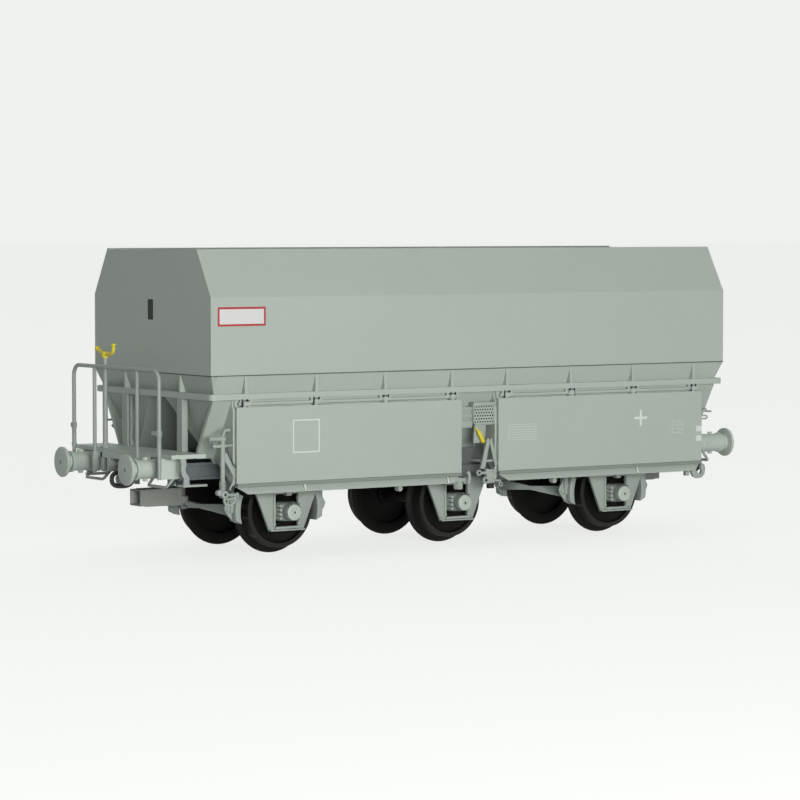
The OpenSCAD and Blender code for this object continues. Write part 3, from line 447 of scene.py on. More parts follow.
# a tree that sets a unit at every point of a mesh, then makes it real and paints it
def spreadTree(name, inputs):
    tree = bpy.data.node_groups.new(name, "GeometryNodeTree")
    face = tree.interface
    keys = {}
    for label, kind in (("Geometry", "Geometry"), *inputs, ("Material", "Material")):
        keys[label] = face.new_socket(label, in_out="INPUT", socket_type="NodeSocket" + kind).identifier
    face.new_socket("Geometry", in_out="OUTPUT", socket_type="NodeSocketGeometry")
    source, sink = tree.nodes.new("NodeGroupInput"), tree.nodes.new("NodeGroupOutput")
    spread = tree.nodes.new("GeometryNodeInstanceOnPoints")
    real = tree.nodes.new("GeometryNodeRealizeInstances")
    paint = tree.nodes.new("GeometryNodeSetMaterial")
    tree.links.new(source.outputs["Geometry"], spread.inputs["Points"])
    tree.links.new(spread.outputs[0], real.inputs[0])
    tree.links.new(real.outputs[0], paint.inputs["Geometry"])
    tree.links.new(source.outputs["Material"], paint.inputs["Material"])
    tree.links.new(paint.outputs[0], sink.inputs[0])
    return tree, keys, source, spread


# bolts, ribs and perforated cells: the unit is another object's mesh
def repeatTree():
    inputs = (("Unit", "Object"), ("Turn", "Rotation"), ("Size", "Float"))
    tree, keys, source, spread = spreadTree("repeatUnit", inputs)
    info = tree.nodes.new("GeometryNodeObjectInfo")
    tree.links.new(source.outputs["Unit"], info.inputs["Object"])
    tree.links.new(info.outputs["Geometry"], spread.inputs["Instance"])
    tree.links.new(source.outputs["Turn"], spread.inputs["Rotation"])
    tree.links.new(source.outputs["Size"], spread.inputs["Scale"])
    return tree, keys


# coil springs: the unit is a wire swept along a spiral
coil = {"stepsPerTurn": 18, "wireSides": 8}


def coilTree():
    sizes = ("Turns", "Radius", "Height", "Wire")
    tree, keys, source, spread = spreadTree("coilSpring", [(label, "Float") for label in sizes])
    spiral = tree.nodes.new("GeometryNodeCurveSpiral")
    ring = tree.nodes.new("GeometryNodeCurvePrimitiveCircle")
    sweep = tree.nodes.new("GeometryNodeCurveToMesh")
    spiral.inputs["Resolution"].default_value = coil["stepsPerTurn"]
    ring.inputs["Resolution"].default_value = coil["wireSides"]
    sweep.inputs["Fill Caps"].default_value = True
    sockets = {"Rotations": "Turns", "Start Radius": "Radius", "End Radius": "Radius", "Height": "Height"}
    for socket, label in sockets.items():
        tree.links.new(source.outputs[label], spiral.inputs[socket])
    tree.links.new(source.outputs["Wire"], ring.inputs["Radius"])
    tree.links.new(spiral.outputs[0], sweep.inputs["Curve"])
    tree.links.new(ring.outputs[0], sweep.inputs["Profile Curve"])
    tree.links.new(sweep.outputs[0], spread.inputs["Instance"])
    return tree, keys


repeatGroup, repeatKeys = repeatTree()
coilGroup, coilKeys = coilTree()


# a tree set to work on places, which are points in mm above the rail top
def spreadPiece(name, places, group, keys, values, ink, sharp=35):
    pointMesh = bpy.data.meshes.new(name)
    pointMesh.from_pydata([(x * mm, y * mm, (z + railTop) * mm) for x, y, z in places], [], [])
    piece = bpy.data.objects.new(name, pointMesh)
    bpy.context.scene.collection.objects.link(piece)
    spread = piece.modifiers.new("spread", "NODES")
    spread.node_group = group
    for label, value in values.items():
        spread[keys[label]] = value
    spread[keys["Material"]] = finishes[ink]
    settled(piece, sharp)
    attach(piece, "wagon")


# unit is a Shape around its own origin
def repeated(name, unit, places, turn, ink):
    unitMesh = bpy.data.meshes.new(name + "Unit")
    unitMesh.from_pydata([(x * mm, y * mm, z * mm) for x, y, z in unit.points], [], unit.faces)
    unitObject = bpy.data.objects.new(name + "Unit", unitMesh)
    bpy.context.scene.collection.objects.link(unitObject)
    values = {"Unit": unitObject, "Turn": [math.radians(a) for a in turn], "Size": 1.0}
    spreadPiece(name, places, repeatGroup, repeatKeys, values, ink)
    bpy.data.objects.remove(unitObject)


# hexagon head with a bevelled top, sitting on its origin
def boltHead(radius, height, shoulder=0.75, crown=0.8):
    profile = [(0, radius), (height * shoulder, radius), (height, radius * crown)]
    return Shape().lathe(profile, (0, 0, 0), "z", 6)


# a shape drawn on the front becomes the back's by half a turn about the body's centre
def forSide(shape, sign):
    return shape if sign < 0 else shape.copied((-1, -1, 1), (2 * bodyShift, 0, 0))


# half and quarter turns that point a unit out of each face
sideTurn = {"front": (90, 0, 0), "back": (-90, 0, 0), "plain": (0, 90, 0), "platform": (0, -90, 0)}
faceSigns = (("front", -1), ("back", 1))
endSigns = (("platform", -1), ("plain", 1))
print("tools ready")


# buffers: turned heads and stocks, with hexagon bosses, side screws and bolted flange plates
buffer = {
    "reach": 55.2, "spread": boxOf("buffers_platform")[1][1] - 2.25, "height": 12.5,
    # distance behind the face, radius
    "head": [
        (0, 0), (0.0, 1.95), (0.05, 2.17), (0.13, 2.25), (0.40, 2.25), (0.50, 2.18), (0.56, 1.7), (0.62, 1.3),
        (0.8, 1.12), (1.35, 1.12), (1.36, 1.52), (1.42, 1.57), (1.80, 1.57), (1.86, 1.5), (1.92, 1.42), (2.1, 1.40),
        (4.02, 1.40), (4.06, 1.32), (4.16, 1.32), (4.20, 1.45), (6.85, 1.45), (6.9, 1.62), (7.33, 1.62), (7.34, 0),
    ],
    "slotHalf": (0.11, 0.25), "slotDepth": 0.05,
    "boss": [(0, 0.42), (0.42, 0.42), (0.5, 0.34)], "bossX": 51.9, "bossOff": 1.25,
    "screw": [(0, 0.26), (0.25, 0.26), (0.3, 0.18)], "screwX": 50.35, "screwOff": 1.3,
    "plateX": (47.83, 48.27), "plateHalf": 1.62, "plateFoot": 11.1, "plateTop": 13.72,
    "boltOff": 1.28, "boltRadius": 0.2, "boltHeight": 0.16,
}


def bufferPair(sign):
    shape = Shape()
    z, (halfY, halfZ) = buffer["height"], buffer["slotHalf"]
    for side in (-1, 1):
        y = side * buffer["spread"]
        shape.lathe(buffer["head"], (sign * buffer["reach"], y, z), "x", 64, 0, -sign)
        # the slot in the head's face is painted shade
        shape.box((sign * buffer["reach"], y - halfY, z - halfZ),
                  (sign * (buffer["reach"] - buffer["slotDepth"]), y + halfY, z + halfZ), 1)
        for way in (-1, 1):
            boss = (sign * buffer["bossX"], y, z + way * buffer["bossOff"])
            screw = (sign * buffer["screwX"], y + way * buffer["screwOff"], z)
            shape.lathe(buffer["boss"], boss, "z", 6, 0, way)
            shape.lathe(buffer["screw"], screw, "y", 12, 0, way)
    return shape


def bufferPlates(sign):
    shape = Shape()
    inner, outer = buffer["plateX"]
    for side in (-1, 1):
        y, half = side * buffer["spread"], buffer["plateHalf"]
        outline = [(y - half, buffer["plateFoot"]), (y + half, buffer["plateFoot"]),
                   (y + half, buffer["plateTop"]), (y - half, buffer["plateTop"])]
        shape.slab(outline, "x", sign * inner, sign * outer)
    return shape


for end, sign in endSigns:
    pieceFrom(bufferPair(sign), "bufferPair_" + end, ["buffer", "hole"], ["buffers_" + end])
for end, sign in endSigns:
    off = buffer["boltOff"]
    bolts = [(sign * buffer["plateX"][1], side * buffer["spread"] + a * off, buffer["height"] + b * off)
             for side in (-1, 1) for a in (-1, 1) for b in (-1, 1)]
    pieceFrom(bufferPlates(sign), "bufferPlates_" + end, ["frame"], bevel=0.05)
    bolt = boltHead(buffer["boltRadius"], buffer["boltHeight"])
    repeated("bufferBolts_" + end, bolt, bolts, sideTurn[end], "frame")
print("buffers done")


# wheelsets: tread and flange radii, back of the wheel and its width; profiles as distance, radius
wheel = {
    "tread": 5.5, "flange": 6.4, "back": 7.2, "width": 3.0, "sides": 96,
    "disc": [(-0.3, 0), (-0.3, 1.55), (-0.2, 1.65), (0.45, 1.7), (0.62, 2.3), (0.8, 4.1), (0.6, 4.6)],
    "front": [(-0.85, 4.2), (-1.05, 2.4), (-0.75, 1.75), (0.05, 1.6), (0.12, 1.45), (0.12, 0)],
    # distance from the back, radius past the flange
    "flangeRim": [(0, -0.3), (0.08, -0.1), (0.25, 0), (0.45, -0.1)],
    # distance from the back, radius past the tread
    "throat": [(0.62, 0.35), (0.85, 0.05), (1.0, 0)],
    # distance from the outer face, radius past the tread
    "tyre": [(-0.12, -0.02), (0, -0.14), (0, -0.36), (-0.05, -0.4), (-0.05, -0.62), (-0.12, -0.68), (-0.4, -0.74)],
    "axle": (7.0, 1.0),
    "journal": [(10.1, 0), (10.1, 0.95), (10.4, 0.95), (10.5, 0.75), (12.9, 0.75), (13.0, 0.68), (13.0, 0)],
    "bareDepth": 0.7, "bareReach": 0.2,
}


def wheelset(x):
    shape = Shape()
    tread, back = wheel["tread"], wheel["back"]
    outer, centre = back + wheel["width"], (x, 0, wheel["tread"])
    profile = [(back + a, r) for a, r in wheel["disc"]] + [(back + 0.05, 4.7), (back, 4.8)]
    profile += [(back + a, wheel["flange"] + r) for a, r in wheel["flangeRim"]]
    profile += [(back + a, tread + r) for a, r in wheel["throat"]]
    profile += [(outer + a, tread + r) for a, r in wheel["tyre"]] + [(outer - 0.62, 4.66)]
    profile += [(outer + a, r) for a, r in wheel["front"]]
    for side in (-1, 1):
        start = len(shape.faces)
        shape.lathe(profile, centre, "y", wheel["sides"], 0, side)
        # the outer part of the rim is bare, darkened tyre
        for index in range(start, len(shape.faces)):
            corners = [shape.points[i] for i in shape.faces[index]]
            radii = [math.hypot(p[0] - x, p[2] - tread) for p in corners]
            outside = max(abs(p[1]) for p in corners) > outer - wheel["bareReach"]
            if tread - wheel["bareDepth"] < min(radii) and max(radii) < tread and outside:
                shape.inks[index] = 1
    half, radius = wheel["axle"]
    shape.drum(-half, half, radius, centre, "y", 40)
    for side in (-1, 1):
        shape.lathe(wheel["journal"], centre, "y", 32, 1, side)
    return shape


for label, x in axlePlaces.items():
    pieceFrom(wheelset(x), "wheelPair_" + label, ["wheel", "tyre"], ["wheelset_" + label], 0.0,
              "wheelset_" + label)
print("wheelsets done")


# axleguards and axleboxes, drawn on the front and copied to the back
guard = {
    "face": 11.95, "thickness": 0.5, "axle": 5.5,
    "outline": [(-2.9, 2.7), (2.9, 2.7), (5.4, 8.9), (5.4, 12.0), (-5.4, 12.0), (-5.4, 8.9)],
    "window": [(-1.97, 3.3), (1.97, 3.3), (1.97, 8.1), (-1.97, 8.1)],
    # distance past the plate, half width, half height and squareness of the axlebox
    "block": [(-0.85, 1.88, 1.42, 5.0), (-0.05, 1.88, 1.42, 5.0), (0.02, 1.62, 1.42, 5.0),
              (0.75, 1.58, 1.36, 4.0), (1.05, 1.4, 1.3, 2.6)],
    "blockSides": 32,
    # distance past the plate, radius
    "barrel": [(1.0, 0), (1.0, 1.36), (1.3, 1.30), (1.85, 1.26), (2.0, 1.15), (2.02, 0)],
    "cap": [(1.98, 0), (1.98, 1.14), (2.12, 1.2), (2.26, 1.18), (2.35, 1.05), (2.35, 0.52), (2.2, 0.46),
            (2.18, 0.34), (2.34, 0.28), (2.38, 0.2), (2.38, 0)],
    "screw": (2.37, 2.40, 0.16),
    # guide strips beside the window, and arms back to the sole bar
    "strip": (1.97, 2.32, 3.4, 8.35), "stripProud": 0.2, "arm": (4.2, 5.4),
    "armOutline": [(-11.65, 11.4), (-11.65, 12.0), (-10.75, 11.6), (-10.75, 11.1)],
    # keeper strap along the foot and its stiffener
    "strap": (2.95, 2.68, 2.9), "strapProud": 0.5,
    "stiffener": [(-2.2, 2.98), (-1.9, 3.32), (1.9, 3.32), (2.2, 2.98)], "stiffenerProud": 0.32,
    "ribs": 4, "ribStep": 0.62, "ribX": 1.68, "ribY": 0.6, "ribEnds": (-0.55, 0.4), "ribRadius": 0.23,
    "bolts": ((-2.62, 3.18), (2.62, 3.18), (-2.05, 3.62), (2.05, 3.62)), "boltRadius": 0.22, "boltHeight": 0.18,
}


# plate with a window: each outline corner or edge is joined to the window corners that face it
def guardPlate(x):
    faces = [(0, 1, 7, 6), (1, 2, 8, 7), (2, 3, 8), (3, 4, 9, 8), (4, 5, 9), (5, 0, 6, 9)]
    flat = guard["outline"] + guard["window"]
    points = [(x + a, y, b) for y in (-guard["face"], guard["thickness"] - guard["face"]) for a, b in flat]
    faces += [tuple(10 + i for i in f)[::-1] for f in faces]
    faces += [(i, 10 + i, 10 + (i + 1) % 6, (i + 1) % 6) for i in range(6)]
    faces += [(6 + i, 6 + (i + 1) % 4, 16 + (i + 1) % 4, 16 + i) for i in range(4)]
    return Shape().add(points, faces)


def axlebox(x):
    shape = Shape()
    centre, sides, points = (x, 0, guard["axle"]), guard["blockSides"], []
    # a rounded block in the window that runs out to a round cap
    for past, halfX, halfZ, square in guard["block"]:
        for k in range(sides):
            angle = 2 * math.pi * (k + 0.5) / sides
            c, s = math.cos(angle), math.sin(angle)
            reach = (abs(c) ** square + abs(s) ** square) ** (-1 / square)
            points.append((x + halfX * c * reach, -(guard["face"] + past), guard["axle"] + halfZ * s * reach))
    # the block and barrel (ink 2) carry painted shade, the cap (ink 3) painted light
    shape.skin(points, len(guard["block"]), sides, 2)
    for part, tone in (("barrel", 2), ("cap", 3)):
        shape.lathe([(guard["face"] + past, radius) for past, radius in guard[part]], centre, "y", 40, tone, -1)
    start, end, radius = guard["screw"]
    return shape.drum(guard["face"] + start, guard["face"] + end, radius, centre, "y", 12, 1, -1)


def guardTrim(x):
    shape = Shape()
    near = -guard["face"]
    inner, outer, foot, top = guard["strip"]
    for side in (-1, 1):
        shape.box((x + side * inner, near - guard["stripProud"], foot), (x + side * outer, near, top))
        shape.slab(guard["armOutline"], "x", *(x + side * a for a in guard["arm"]))
    half, foot, top = guard["strap"]
    shape.box((x - half, near - guard["strapProud"], foot), (x + half, near + 0.02, top))
    shape.slab([(x + a, b) for a, b in guard["stiffener"]], "y", near - guard["stiffenerProud"], near)
    # spring stops over the axlebox
    shape.box((x - 0.35, near - 0.7, 7.85), (x + 0.5, near + 0.2, 9.3))
    shape.box((x + 1.05, near - 0.45, 8.2), (x + 1.4, near, 9.3))
    return shape


for label, x in axlePlaces.items():
    whole = guardPlate(x).join(axlebox(x), guardTrim(x)).bothSides()
    pieceFrom(whole, "axleguardPair_" + label, ["frame", "hole", "barrel", "buffer"], ["axleguards_" + label], 0.04)
    top = guard["axle"] + guard["ribStep"] * (guard["ribs"] - 1) / 2
    ribs = [(x + across * guard["ribX"], side * (guard["face"] + guard["ribY"]), top - guard["ribStep"] * i)
            for side in (-1, 1) for across in (-1, 1) for i in range(guard["ribs"])]
    ends = [(0, y, 0) for y in guard["ribEnds"]]
    rib = Shape().bar(ends, guard["ribRadius"], 10)
    for place in ends:
        rib.ball(place, guard["ribRadius"], 10)
    repeated("axleboxRibs_" + label, rib, ribs, (0, 0, 0), "body")
    for where, sign in faceSigns:
        bolts = [(x + a, sign * guard["face"], b) for a, b in guard["bolts"]]
        bolt = boltHead(guard["boltRadius"], guard["boltHeight"])
        repeated("guardBolts_" + label + "_" + where, bolt, bolts, sideTurn[where], "frame")
print("axleguards done")


# brake crank: hub, bent bar and its two knobs; the bar is given across and above the arm
crank = {
    "x": -49.8, "y": 5.9, "top": 27.9, "armUp": 0.5, "bar": 0.27,
    "hub": [(0, 0), (0, 0.42), (0.25, 0.5), (0.75, 0.5), (0.95, 0.36), (1.0, 0)],
    "path": [(2.3, 0.75), (1.6, 0.55), (0.7, 0.12), (0, 0), (-1.2, 0.05), (-2.0, 0.2), (-2.45, 0.45), (-2.6, 0.8),
             (-2.6, 1.45)],
    "knobs": [(2.35, 0.78, 0.4), (-2.6, 1.4, 0.33)],
}
shape = Shape()
shape.lathe(crank["hub"], (crank["x"], crank["y"], crank["top"]), "z", 28)
arm = crank["top"] + crank["armUp"]
shape.bar([(crank["x"], crank["y"] + a, arm + b) for a, b in crank["path"]], crank["bar"])
for across, up, radius in crank["knobs"]:
    shape.ball((crank["x"], crank["y"] + across, arm + up), radius)
pieceFrom(shape, "crankHandle", ["yellow"], ["brake_crank"])
print("crank done")


# control box between the doors, drawn on the front
control = {
    "x": 0.75, "face": 16.5, "foot": 17.4,
    "parts": [
        # box with its lid and frame
        ("slab", [(-14.4, 20.65), (-16.5, 20.65), (-16.5, 17.4), (-14.9, 17.4), (-13.6, 19.65)], "x", 0.75, 4.7),
        ("box", (0.65, -16.8, 20.23), (4.82, -15.7, 20.81)),
        ("box", (0.75, -16.6, 17.38), (0.97, -16.48, 20.25)),
        ("box", (4.48, -16.6, 17.38), (4.7, -16.48, 20.25)),
        ("box", (0.75, -16.6, 17.38), (4.7, -16.48, 17.6)),
        # channel that carries it, with its flanges, and the lever plate
        ("box", (-1.85, -16.0, 17.0), (0.8, -13.9, 20.1)),
        ("box", (-1.85, -16.32, 19.65), (0.77, -15.9, 20.14)),
        ("box", (-1.85, -16.18, 18.45), (0.77, -15.9, 19.15)),
        ("box", (-1.85, -16.25, 16.98), (0.77, -15.9, 18.08)),
        ("slab", [(1.2, 14.62), (3.25, 14.62), (3.5, 17.42), (1.45, 17.42)], "y", -16.0, -15.6),
        # inverted V strut
        ("slab", [(3.0, 15.45), (3.52, 15.45), (2.5, 10.8), (1.7, 10.8)], "y", -17.2, -16.72),
        ("slab", [(3.2, 15.45), (3.72, 15.45), (4.85, 11.35), (4.4, 11.0)], "y", -17.2, -16.72),
        ("box", (2.1, -16.8, 11.75), (4.5, -11.95, 12.1)),
        # shaft, bell crank, links, hook and nut below
        ("bar", [(1.7, -16.65, 10.12), (4.2, -16.65, 10.08)], 0.24),
        ("slab", [(2.8, 10.75), (4.1, 10.6), (4.4, 9.9), (4.45, 8.7), (3.2, 8.45), (3.0, 9.6)], "y", -17.0, -16.3),
        ("bar", [(4.0, -17.0, 10.5), (4.4, -17.0, 10.2), (4.5, -17.0, 9.6), (4.25, -17.0, 9.1)], 0.26),
        ("bar", [(4.3, -17.0, 8.92), (5.5, -17.0, 8.86)], 0.18),
        ("bar", [(-0.72, -17.1, 10.5), (-0.42, -17.15, 10.1), (-0.36, -17.15, 9.4), (-0.6, -17.1, 8.6)], 0.28),
        ("slab", [(-4.15, 9.35), (-3.9, 9.75), (-1.1, 9.5), (-1.1, 9.1), (-2.0, 8.95), (-3.4, 9.05)],
         "y", -17.3, -16.5),
        ("lathe", [(7.85, 0), (7.85, 0.62), (8.0, 0.75), (8.75, 0.78), (8.9, 0.6), (9.1, 0.6), (9.1, 0)],
         (-2.15, -16.75, 0), "z", 6),
        # bosses with painted shade in the bore
        ("boss", (1.57, -16.9, 10.17), 0.46, 0.2), ("boss", (2.75, -17.0, 9.02), 0.55, 0.24),
        ("boss", (5.45, -17.0, 8.3), 0.4, 0.18), ("box", (3.3, -17.0, 7.75), (4.3, -16.4, 8.55), 1),
    ],
    # dark channel seen through the gap between the doors, and the slope on top of it; the channel is real, its dark
    # paint is painted shade of the deep gap
    "channel": [
        ("box", (-1.75, -13.7, 11.3), (4.85, -13.4, 13.85)), ("box", (-1.75, -14.4, 9.4), (4.85, -13.4, 11.1)),
        ("box", (4.8, -14.3, 9.0), (6.7, -13.4, 11.1)),
        ("slab", [(-14.45, 11.1), (-14.45, 11.28), (-13.4, 11.5), (-13.4, 11.1)], "x", -1.75, 4.85),
    ],
    # yellow lever: its wire, and the grip over it
    "lever": [
        ("bar", [(1.5, -16.1, 16.85), (1.62, -16.3, 16.6), (2.0, -16.35, 15.9)], 0.16, 10),
        ("bar", [(1.9, -16.35, 16.25), (2.15, -16.4, 15.8), (2.65, -16.4, 14.9)], 0.33, 14),
        ("ball", (1.9, -16.35, 16.25), 0.33, 16), ("ball", (2.65, -16.4, 14.9), 0.33, 16),
    ],
    # perforated plate: square cells in staggered rows, each with a disc of painted shade a little behind its hole
    "cell": 0.46, "hole": 0.15, "rows": 6, "columns": 8, "margin": (0.14, 0.2), "proud": 0.07, "cellDepth": 0.06,
    "disc": (0.01, 0.155), "discBehind": 0.05,
}


# square cell with a round hole through it
def perforatedCell(size, hole, depth):
    half, sides = size / 2, 8
    square = [(half * a, half * b) for a, b in ((1, 0), (1, 1), (0, 1), (-1, 1), (-1, 0), (-1, -1), (0, -1), (1, -1))]
    turns = [2 * math.pi * k / sides for k in range(sides)]
    circle = [(hole * math.cos(a), hole * math.sin(a)) for a in turns]
    points = [(a, 0, b) for a, b in square + circle] + [(a, depth, b) for a, b in circle]
    faces = [(start + k, start + (k + 1) % sides, start + sides + (k + 1) % sides, start + sides + k)
             for start in (0, sides) for k in range(sides)]
    return Shape().add(points, faces)


# places of the perforated cells on the front, or of the discs behind their holes
def cellPlaces(behind=0.0):
    marginX, marginZ = control["margin"]
    return [(control["x"] + marginX + control["cell"] * (i + 0.5 + 0.5 * (j % 2)),
             behind - control["face"] - control["proud"], control["foot"] + marginZ + control["cell"] * (j + 0.5))
            for j in range(control["rows"]) for i in range(control["columns"] - j % 2)]


levers = Shape()
for where, sign in faceSigns:
    whole, channel = (forSide(Shape().build(control[key]), sign) for key in ("parts", "channel"))
    pieceFrom(whole, "controlBox_" + where, ["frame", "hole"], ["control_box_" + where], 0.04)
    pieceFrom(channel, "gapChannel_" + where, ["shade"], bevel=0.04)
    cells = forSide(Shape().add(cellPlaces(), []), sign).points
    discs = forSide(Shape().add(cellPlaces(control["discBehind"]), []), sign).points
    cell = perforatedCell(control["cell"], control["hole"], control["cellDepth"])
    disc = Shape().lathe([(0, control["disc"][1]), control["disc"], (control["disc"][0], 0)], (0, 0, 0), "z", 8)
    repeated("perforatedPlate_" + where, cell, cells, (0, 0, 0) if sign < 0 else (0, 0, 180), "body")
    repeated("perforationDepth_" + where, disc, discs, sideTurn[where], "hole")
    levers.join(forSide(Shape().build(control["lever"]), sign))
pieceFrom(levers, "controlHandles", ["yellow"], ["control_levers"])
print("controls done")


# latch gear at the far edges of the doors: one latch about its shaft, with the door towards +x
latch = {
    "x": 44.6,
    "parts": [
        ("bar", [(0, -16.6, 9.1), (0, -16.6, 17.05)], 0.36, 16),
        # sleeve, handle with its knob, and lug at the head
        ("lathe", [(-2.3, 0), (-2.3, 0.4), (-2.05, 0.42), (-2.0, 0.31), (-0.5, 0.31), (-0.45, 0.4), (0.35, 0.4),
                   (0.4, 0)], (0, -16.6, 16.9), "x", 20),
        ("bar", [(0.0, -16.6, 16.9), (0.1, -16.65, 17.5), (0.3, -16.65, 18.05), (0.75, -16.6, 18.15)], 0.22, 12),
        ("ball", (0.95, -16.6, 18.12), 0.33),
        ("box", (-1.75, -16.92, 15.65), (0.75, -16.25, 16.1)),
        ("drum", -0.4, 0.4, 0.3, (-1.45, -16.6, 15.9), "y", 16),
        ("box", (0.4, -16.55, 15.75), (1.75, -16.1, 16.05)),
        # strut back to the cheek, its lower rod, and the pull wire beside it
        ("slab", [(0.25, 14.9), (0.75, 14.75), (2.1, 11.9), (2.0, 11.4), (1.65, 11.5), (0.25, 13.9)],
         "y", -16.75, -16.4),
        ("bar", [(1.9, -16.6, 11.7), (1.75, -16.6, 10.6), (1.1, -16.6, 9.5)], 0.16, 10),
        ("bar", [(0.55, -16.9, 15.8), (0.7, -16.92, 14.9), (1.5, -16.9, 13.5), (2.25, -16.82, 12.3),
                 (2.3, -16.8, 11.0), (1.8, -16.8, 9.7), (1.2, -16.8, 9.1)], 0.07, 8, 1),
        # foot: boss with its bore, lug, peg with its collar, and the pull ring with its bar
        ("lathe", [(-0.55, 0), (-0.55, 0.5), (-0.45, 0.58), (0.45, 0.58), (0.45, 0)], (0.15, -16.6, 8.9), "y", 24),
        # a disc of painted shade in the boss's bore
        ("drum", -0.6, -0.53, 0.22, (0.15, -16.6, 8.9), "y", 14, 1),
        ("drum", -0.35, 0.35, 0.42, (-0.65, -16.6, 9.15), "y", 18),
        ("bar", [(0.4, -16.6, 8.8), (2.2, -16.6, 8.78)], 0.2, 12),
        ("drum", -0.2, 0.2, 0.34, (2.35, -16.6, 8.78), "x", 16),
        ("bar", [(0.25, -16.7, 8.55), (0.2, -16.7, 7.9), (0.45, -16.7, 7.45), (0.95, -16.7, 7.28), (1.5, -16.7, 7.4),
                 (1.95, -16.7, 7.8), (2.1, -16.7, 8.35), (1.9, -16.7, 8.6)], 0.2, 12),
        ("bar", [(0.3, -16.7, 8.28), (1.15, -16.7, 8.18), (2.0, -16.7, 8.28)], 0.16, 10),
    ],
    # the other kind sits behind the door edge and shows only its hook, eye and cam; at its own place
    "hidden": [
        ("bar", [(43.75, -16.0, 8.7), (43.75, -16.0, 17.6)], 0.34, 16),
        ("bar", [(43.75, -16.0, 17.4), (44.6, -16.3, 17.85), (45.4, -16.4, 18.3)], 0.28, 12),
        ("ball", (45.45, -16.4, 18.3), 0.34),
        ("bar", [(45.2, -16.4, 18.08), (46.75, -16.4, 18.02)], 0.16, 10),
        ("bar", [(44.0, -16.3, 17.4), (45.8, -16.35, 17.38), (46.05, -16.35, 17.14), (45.8, -16.35, 16.9),
                 (44.0, -16.3, 16.88)], 0.14, 10),
        ("slab", [(44.55, 9.9), (45.0, 9.75), (45.25, 9.1), (45.1, 8.2), (44.5, 7.65), (43.6, 7.55), (42.9, 7.85),
                  (42.45, 8.6), (42.7, 8.95), (43.5, 8.75), (43.9, 8.25), (44.35, 8.2), (44.6, 8.7), (44.3, 9.3)],
         "y", -16.9, -16.35),
        ("slab", [(43.4, 8.9), (44.6, 9.9), (44.9, 9.3), (43.9, 8.5)], "y", -16.4, -15.7, 1),
        ("box", (41.35, -16.9, 8.05), (42.0, -16.2, 8.8)),
        ("box", (44.1, -16.5, 10.9), (44.75, -16.0, 11.3)),
    ],
    "spring": {"Turns": 6.0, "Radius": 0.47 * mm, "Height": 1.3 * mm, "Wire": 0.07 * mm},
    "springPlace": (44.6, 16.6, 9.55),
}


for where, sign in faceSigns:
    near = Shape().build(latch["parts"]).copied((-sign, -sign, 1), (bodyShift + sign * latch["x"], 0, 0))
    near.join(forSide(Shape().build(latch["hidden"]), sign))
    pieceFrom(near, "latchGear_" + where, ["frame", "black"], ["latch_gear_" + where], 0.03)
x, y, z = latch["springPlace"]
springs = [(bodyShift + way * x, way * y, z) for way in (-1, 1)]
spreadPiece("latchSprings", springs, coilGroup, coilKeys, latch["spring"], "frame", sharp=60)
print("latches done")


# brake gear at the outer wheels: shoe, web with its pin, hanger, and a beam that gets deeper towards the shoe
brake = {
    "inner": 6.65, "outer": 7.5, "start": -15.0, "pitch": 2.8, "shoe": (8.1, 10.0),
    "web": [(7.1, 8.1), (7.6, 8.2), (8.75, 6.2), (8.5, 5.5), (7.5, 4.35), (7.1, 4.3)], "webY": (8.45, 8.85),
    "pin": (8.05, 8.65, 5.95), "pinHalf": 0.4, "pinRadius": 0.42,
    "hanger": (7.35, 7.95), "hangerY": (8.1, 9.3), "hangerFoot": 5.45, "bracket": (8.1, 10.35), "bracketFoot": 10.7,
    "top": 11.3, "beam": [(0, 5.5), (8.3, 5.0), (8.3, 6.6), (6.5, 6.55), (0, 6.12)],
}


# one shoe at the wheel on an axle, on the side of the axle that way points to
def brakeShoe(shape, axle, way):
    near, far = (axle + way * a for a in brake["hanger"])
    turns = [math.radians(brake["start"] + brake["pitch"] * k) for k in range(14)]
    block = [(axle + way * radius * math.cos(a), guard["axle"] + radius * math.sin(a))
             for radius, run in ((brake["inner"], turns), (brake["outer"], turns[:1:-1])) for a in run]
    shape.slab(block, "y", *brake["shoe"])
    shape.slab([(axle + way * a, b) for a, b in brake["web"]], "y", *brake["webY"])
    x, y, z = brake["pin"]
    shape.drum(-brake["pinHalf"], brake["pinHalf"], brake["pinRadius"], (axle + way * x, y, z), "y", 18)
    shape.box((near, brake["hangerY"][0], brake["hangerFoot"]), (far, brake["hangerY"][1], brake["top"]))
    shape.box((near, brake["bracket"][0], brake["bracketFoot"]), (far, brake["bracket"][1], brake["top"]))
    shape.slab(brake["beam"], "x", near, far)


shape = Shape()
for label in ("platform", "plain"):
    for way in (-1, 1):
        brakeShoe(shape, axlePlaces[label], way)
pieceFrom(shape.bothSides(), "brakeGear", ["frame"], ["brake_rigging"], 0.03)
print("brakes done")


# handrail at the platform end: outer frame, inner posts, sleeves (height along, radius) and lamp irons
rail = {
    "x": -51.3, "outer": 12.8, "inner": 6.4, "foot": 11.1, "top": 27.0,
    "tube": 0.3, "innerTube": 0.285, "corner": 1.6,
    "sleeve": [(0, 0), (0, 0.38), (0.5, 0.38), (0.6, 0.33), (2.6, 0.33), (2.7, 0.4), (2.95, 0.4), (2.95, 0)],
    "sleeveFoot": 14.6, "iron": 17.75, "collar": (0.35, 0.42),
    "irons": [((-0.42, -12.9, -0.3), (-0.2, -11.25, 0.32)), ((-0.3, -11.9, -0.3), (0.35, -11.3, 0.3)),
              ((-0.42, 12.2, -0.3), (-0.2, 13.15, 0.3))],
}


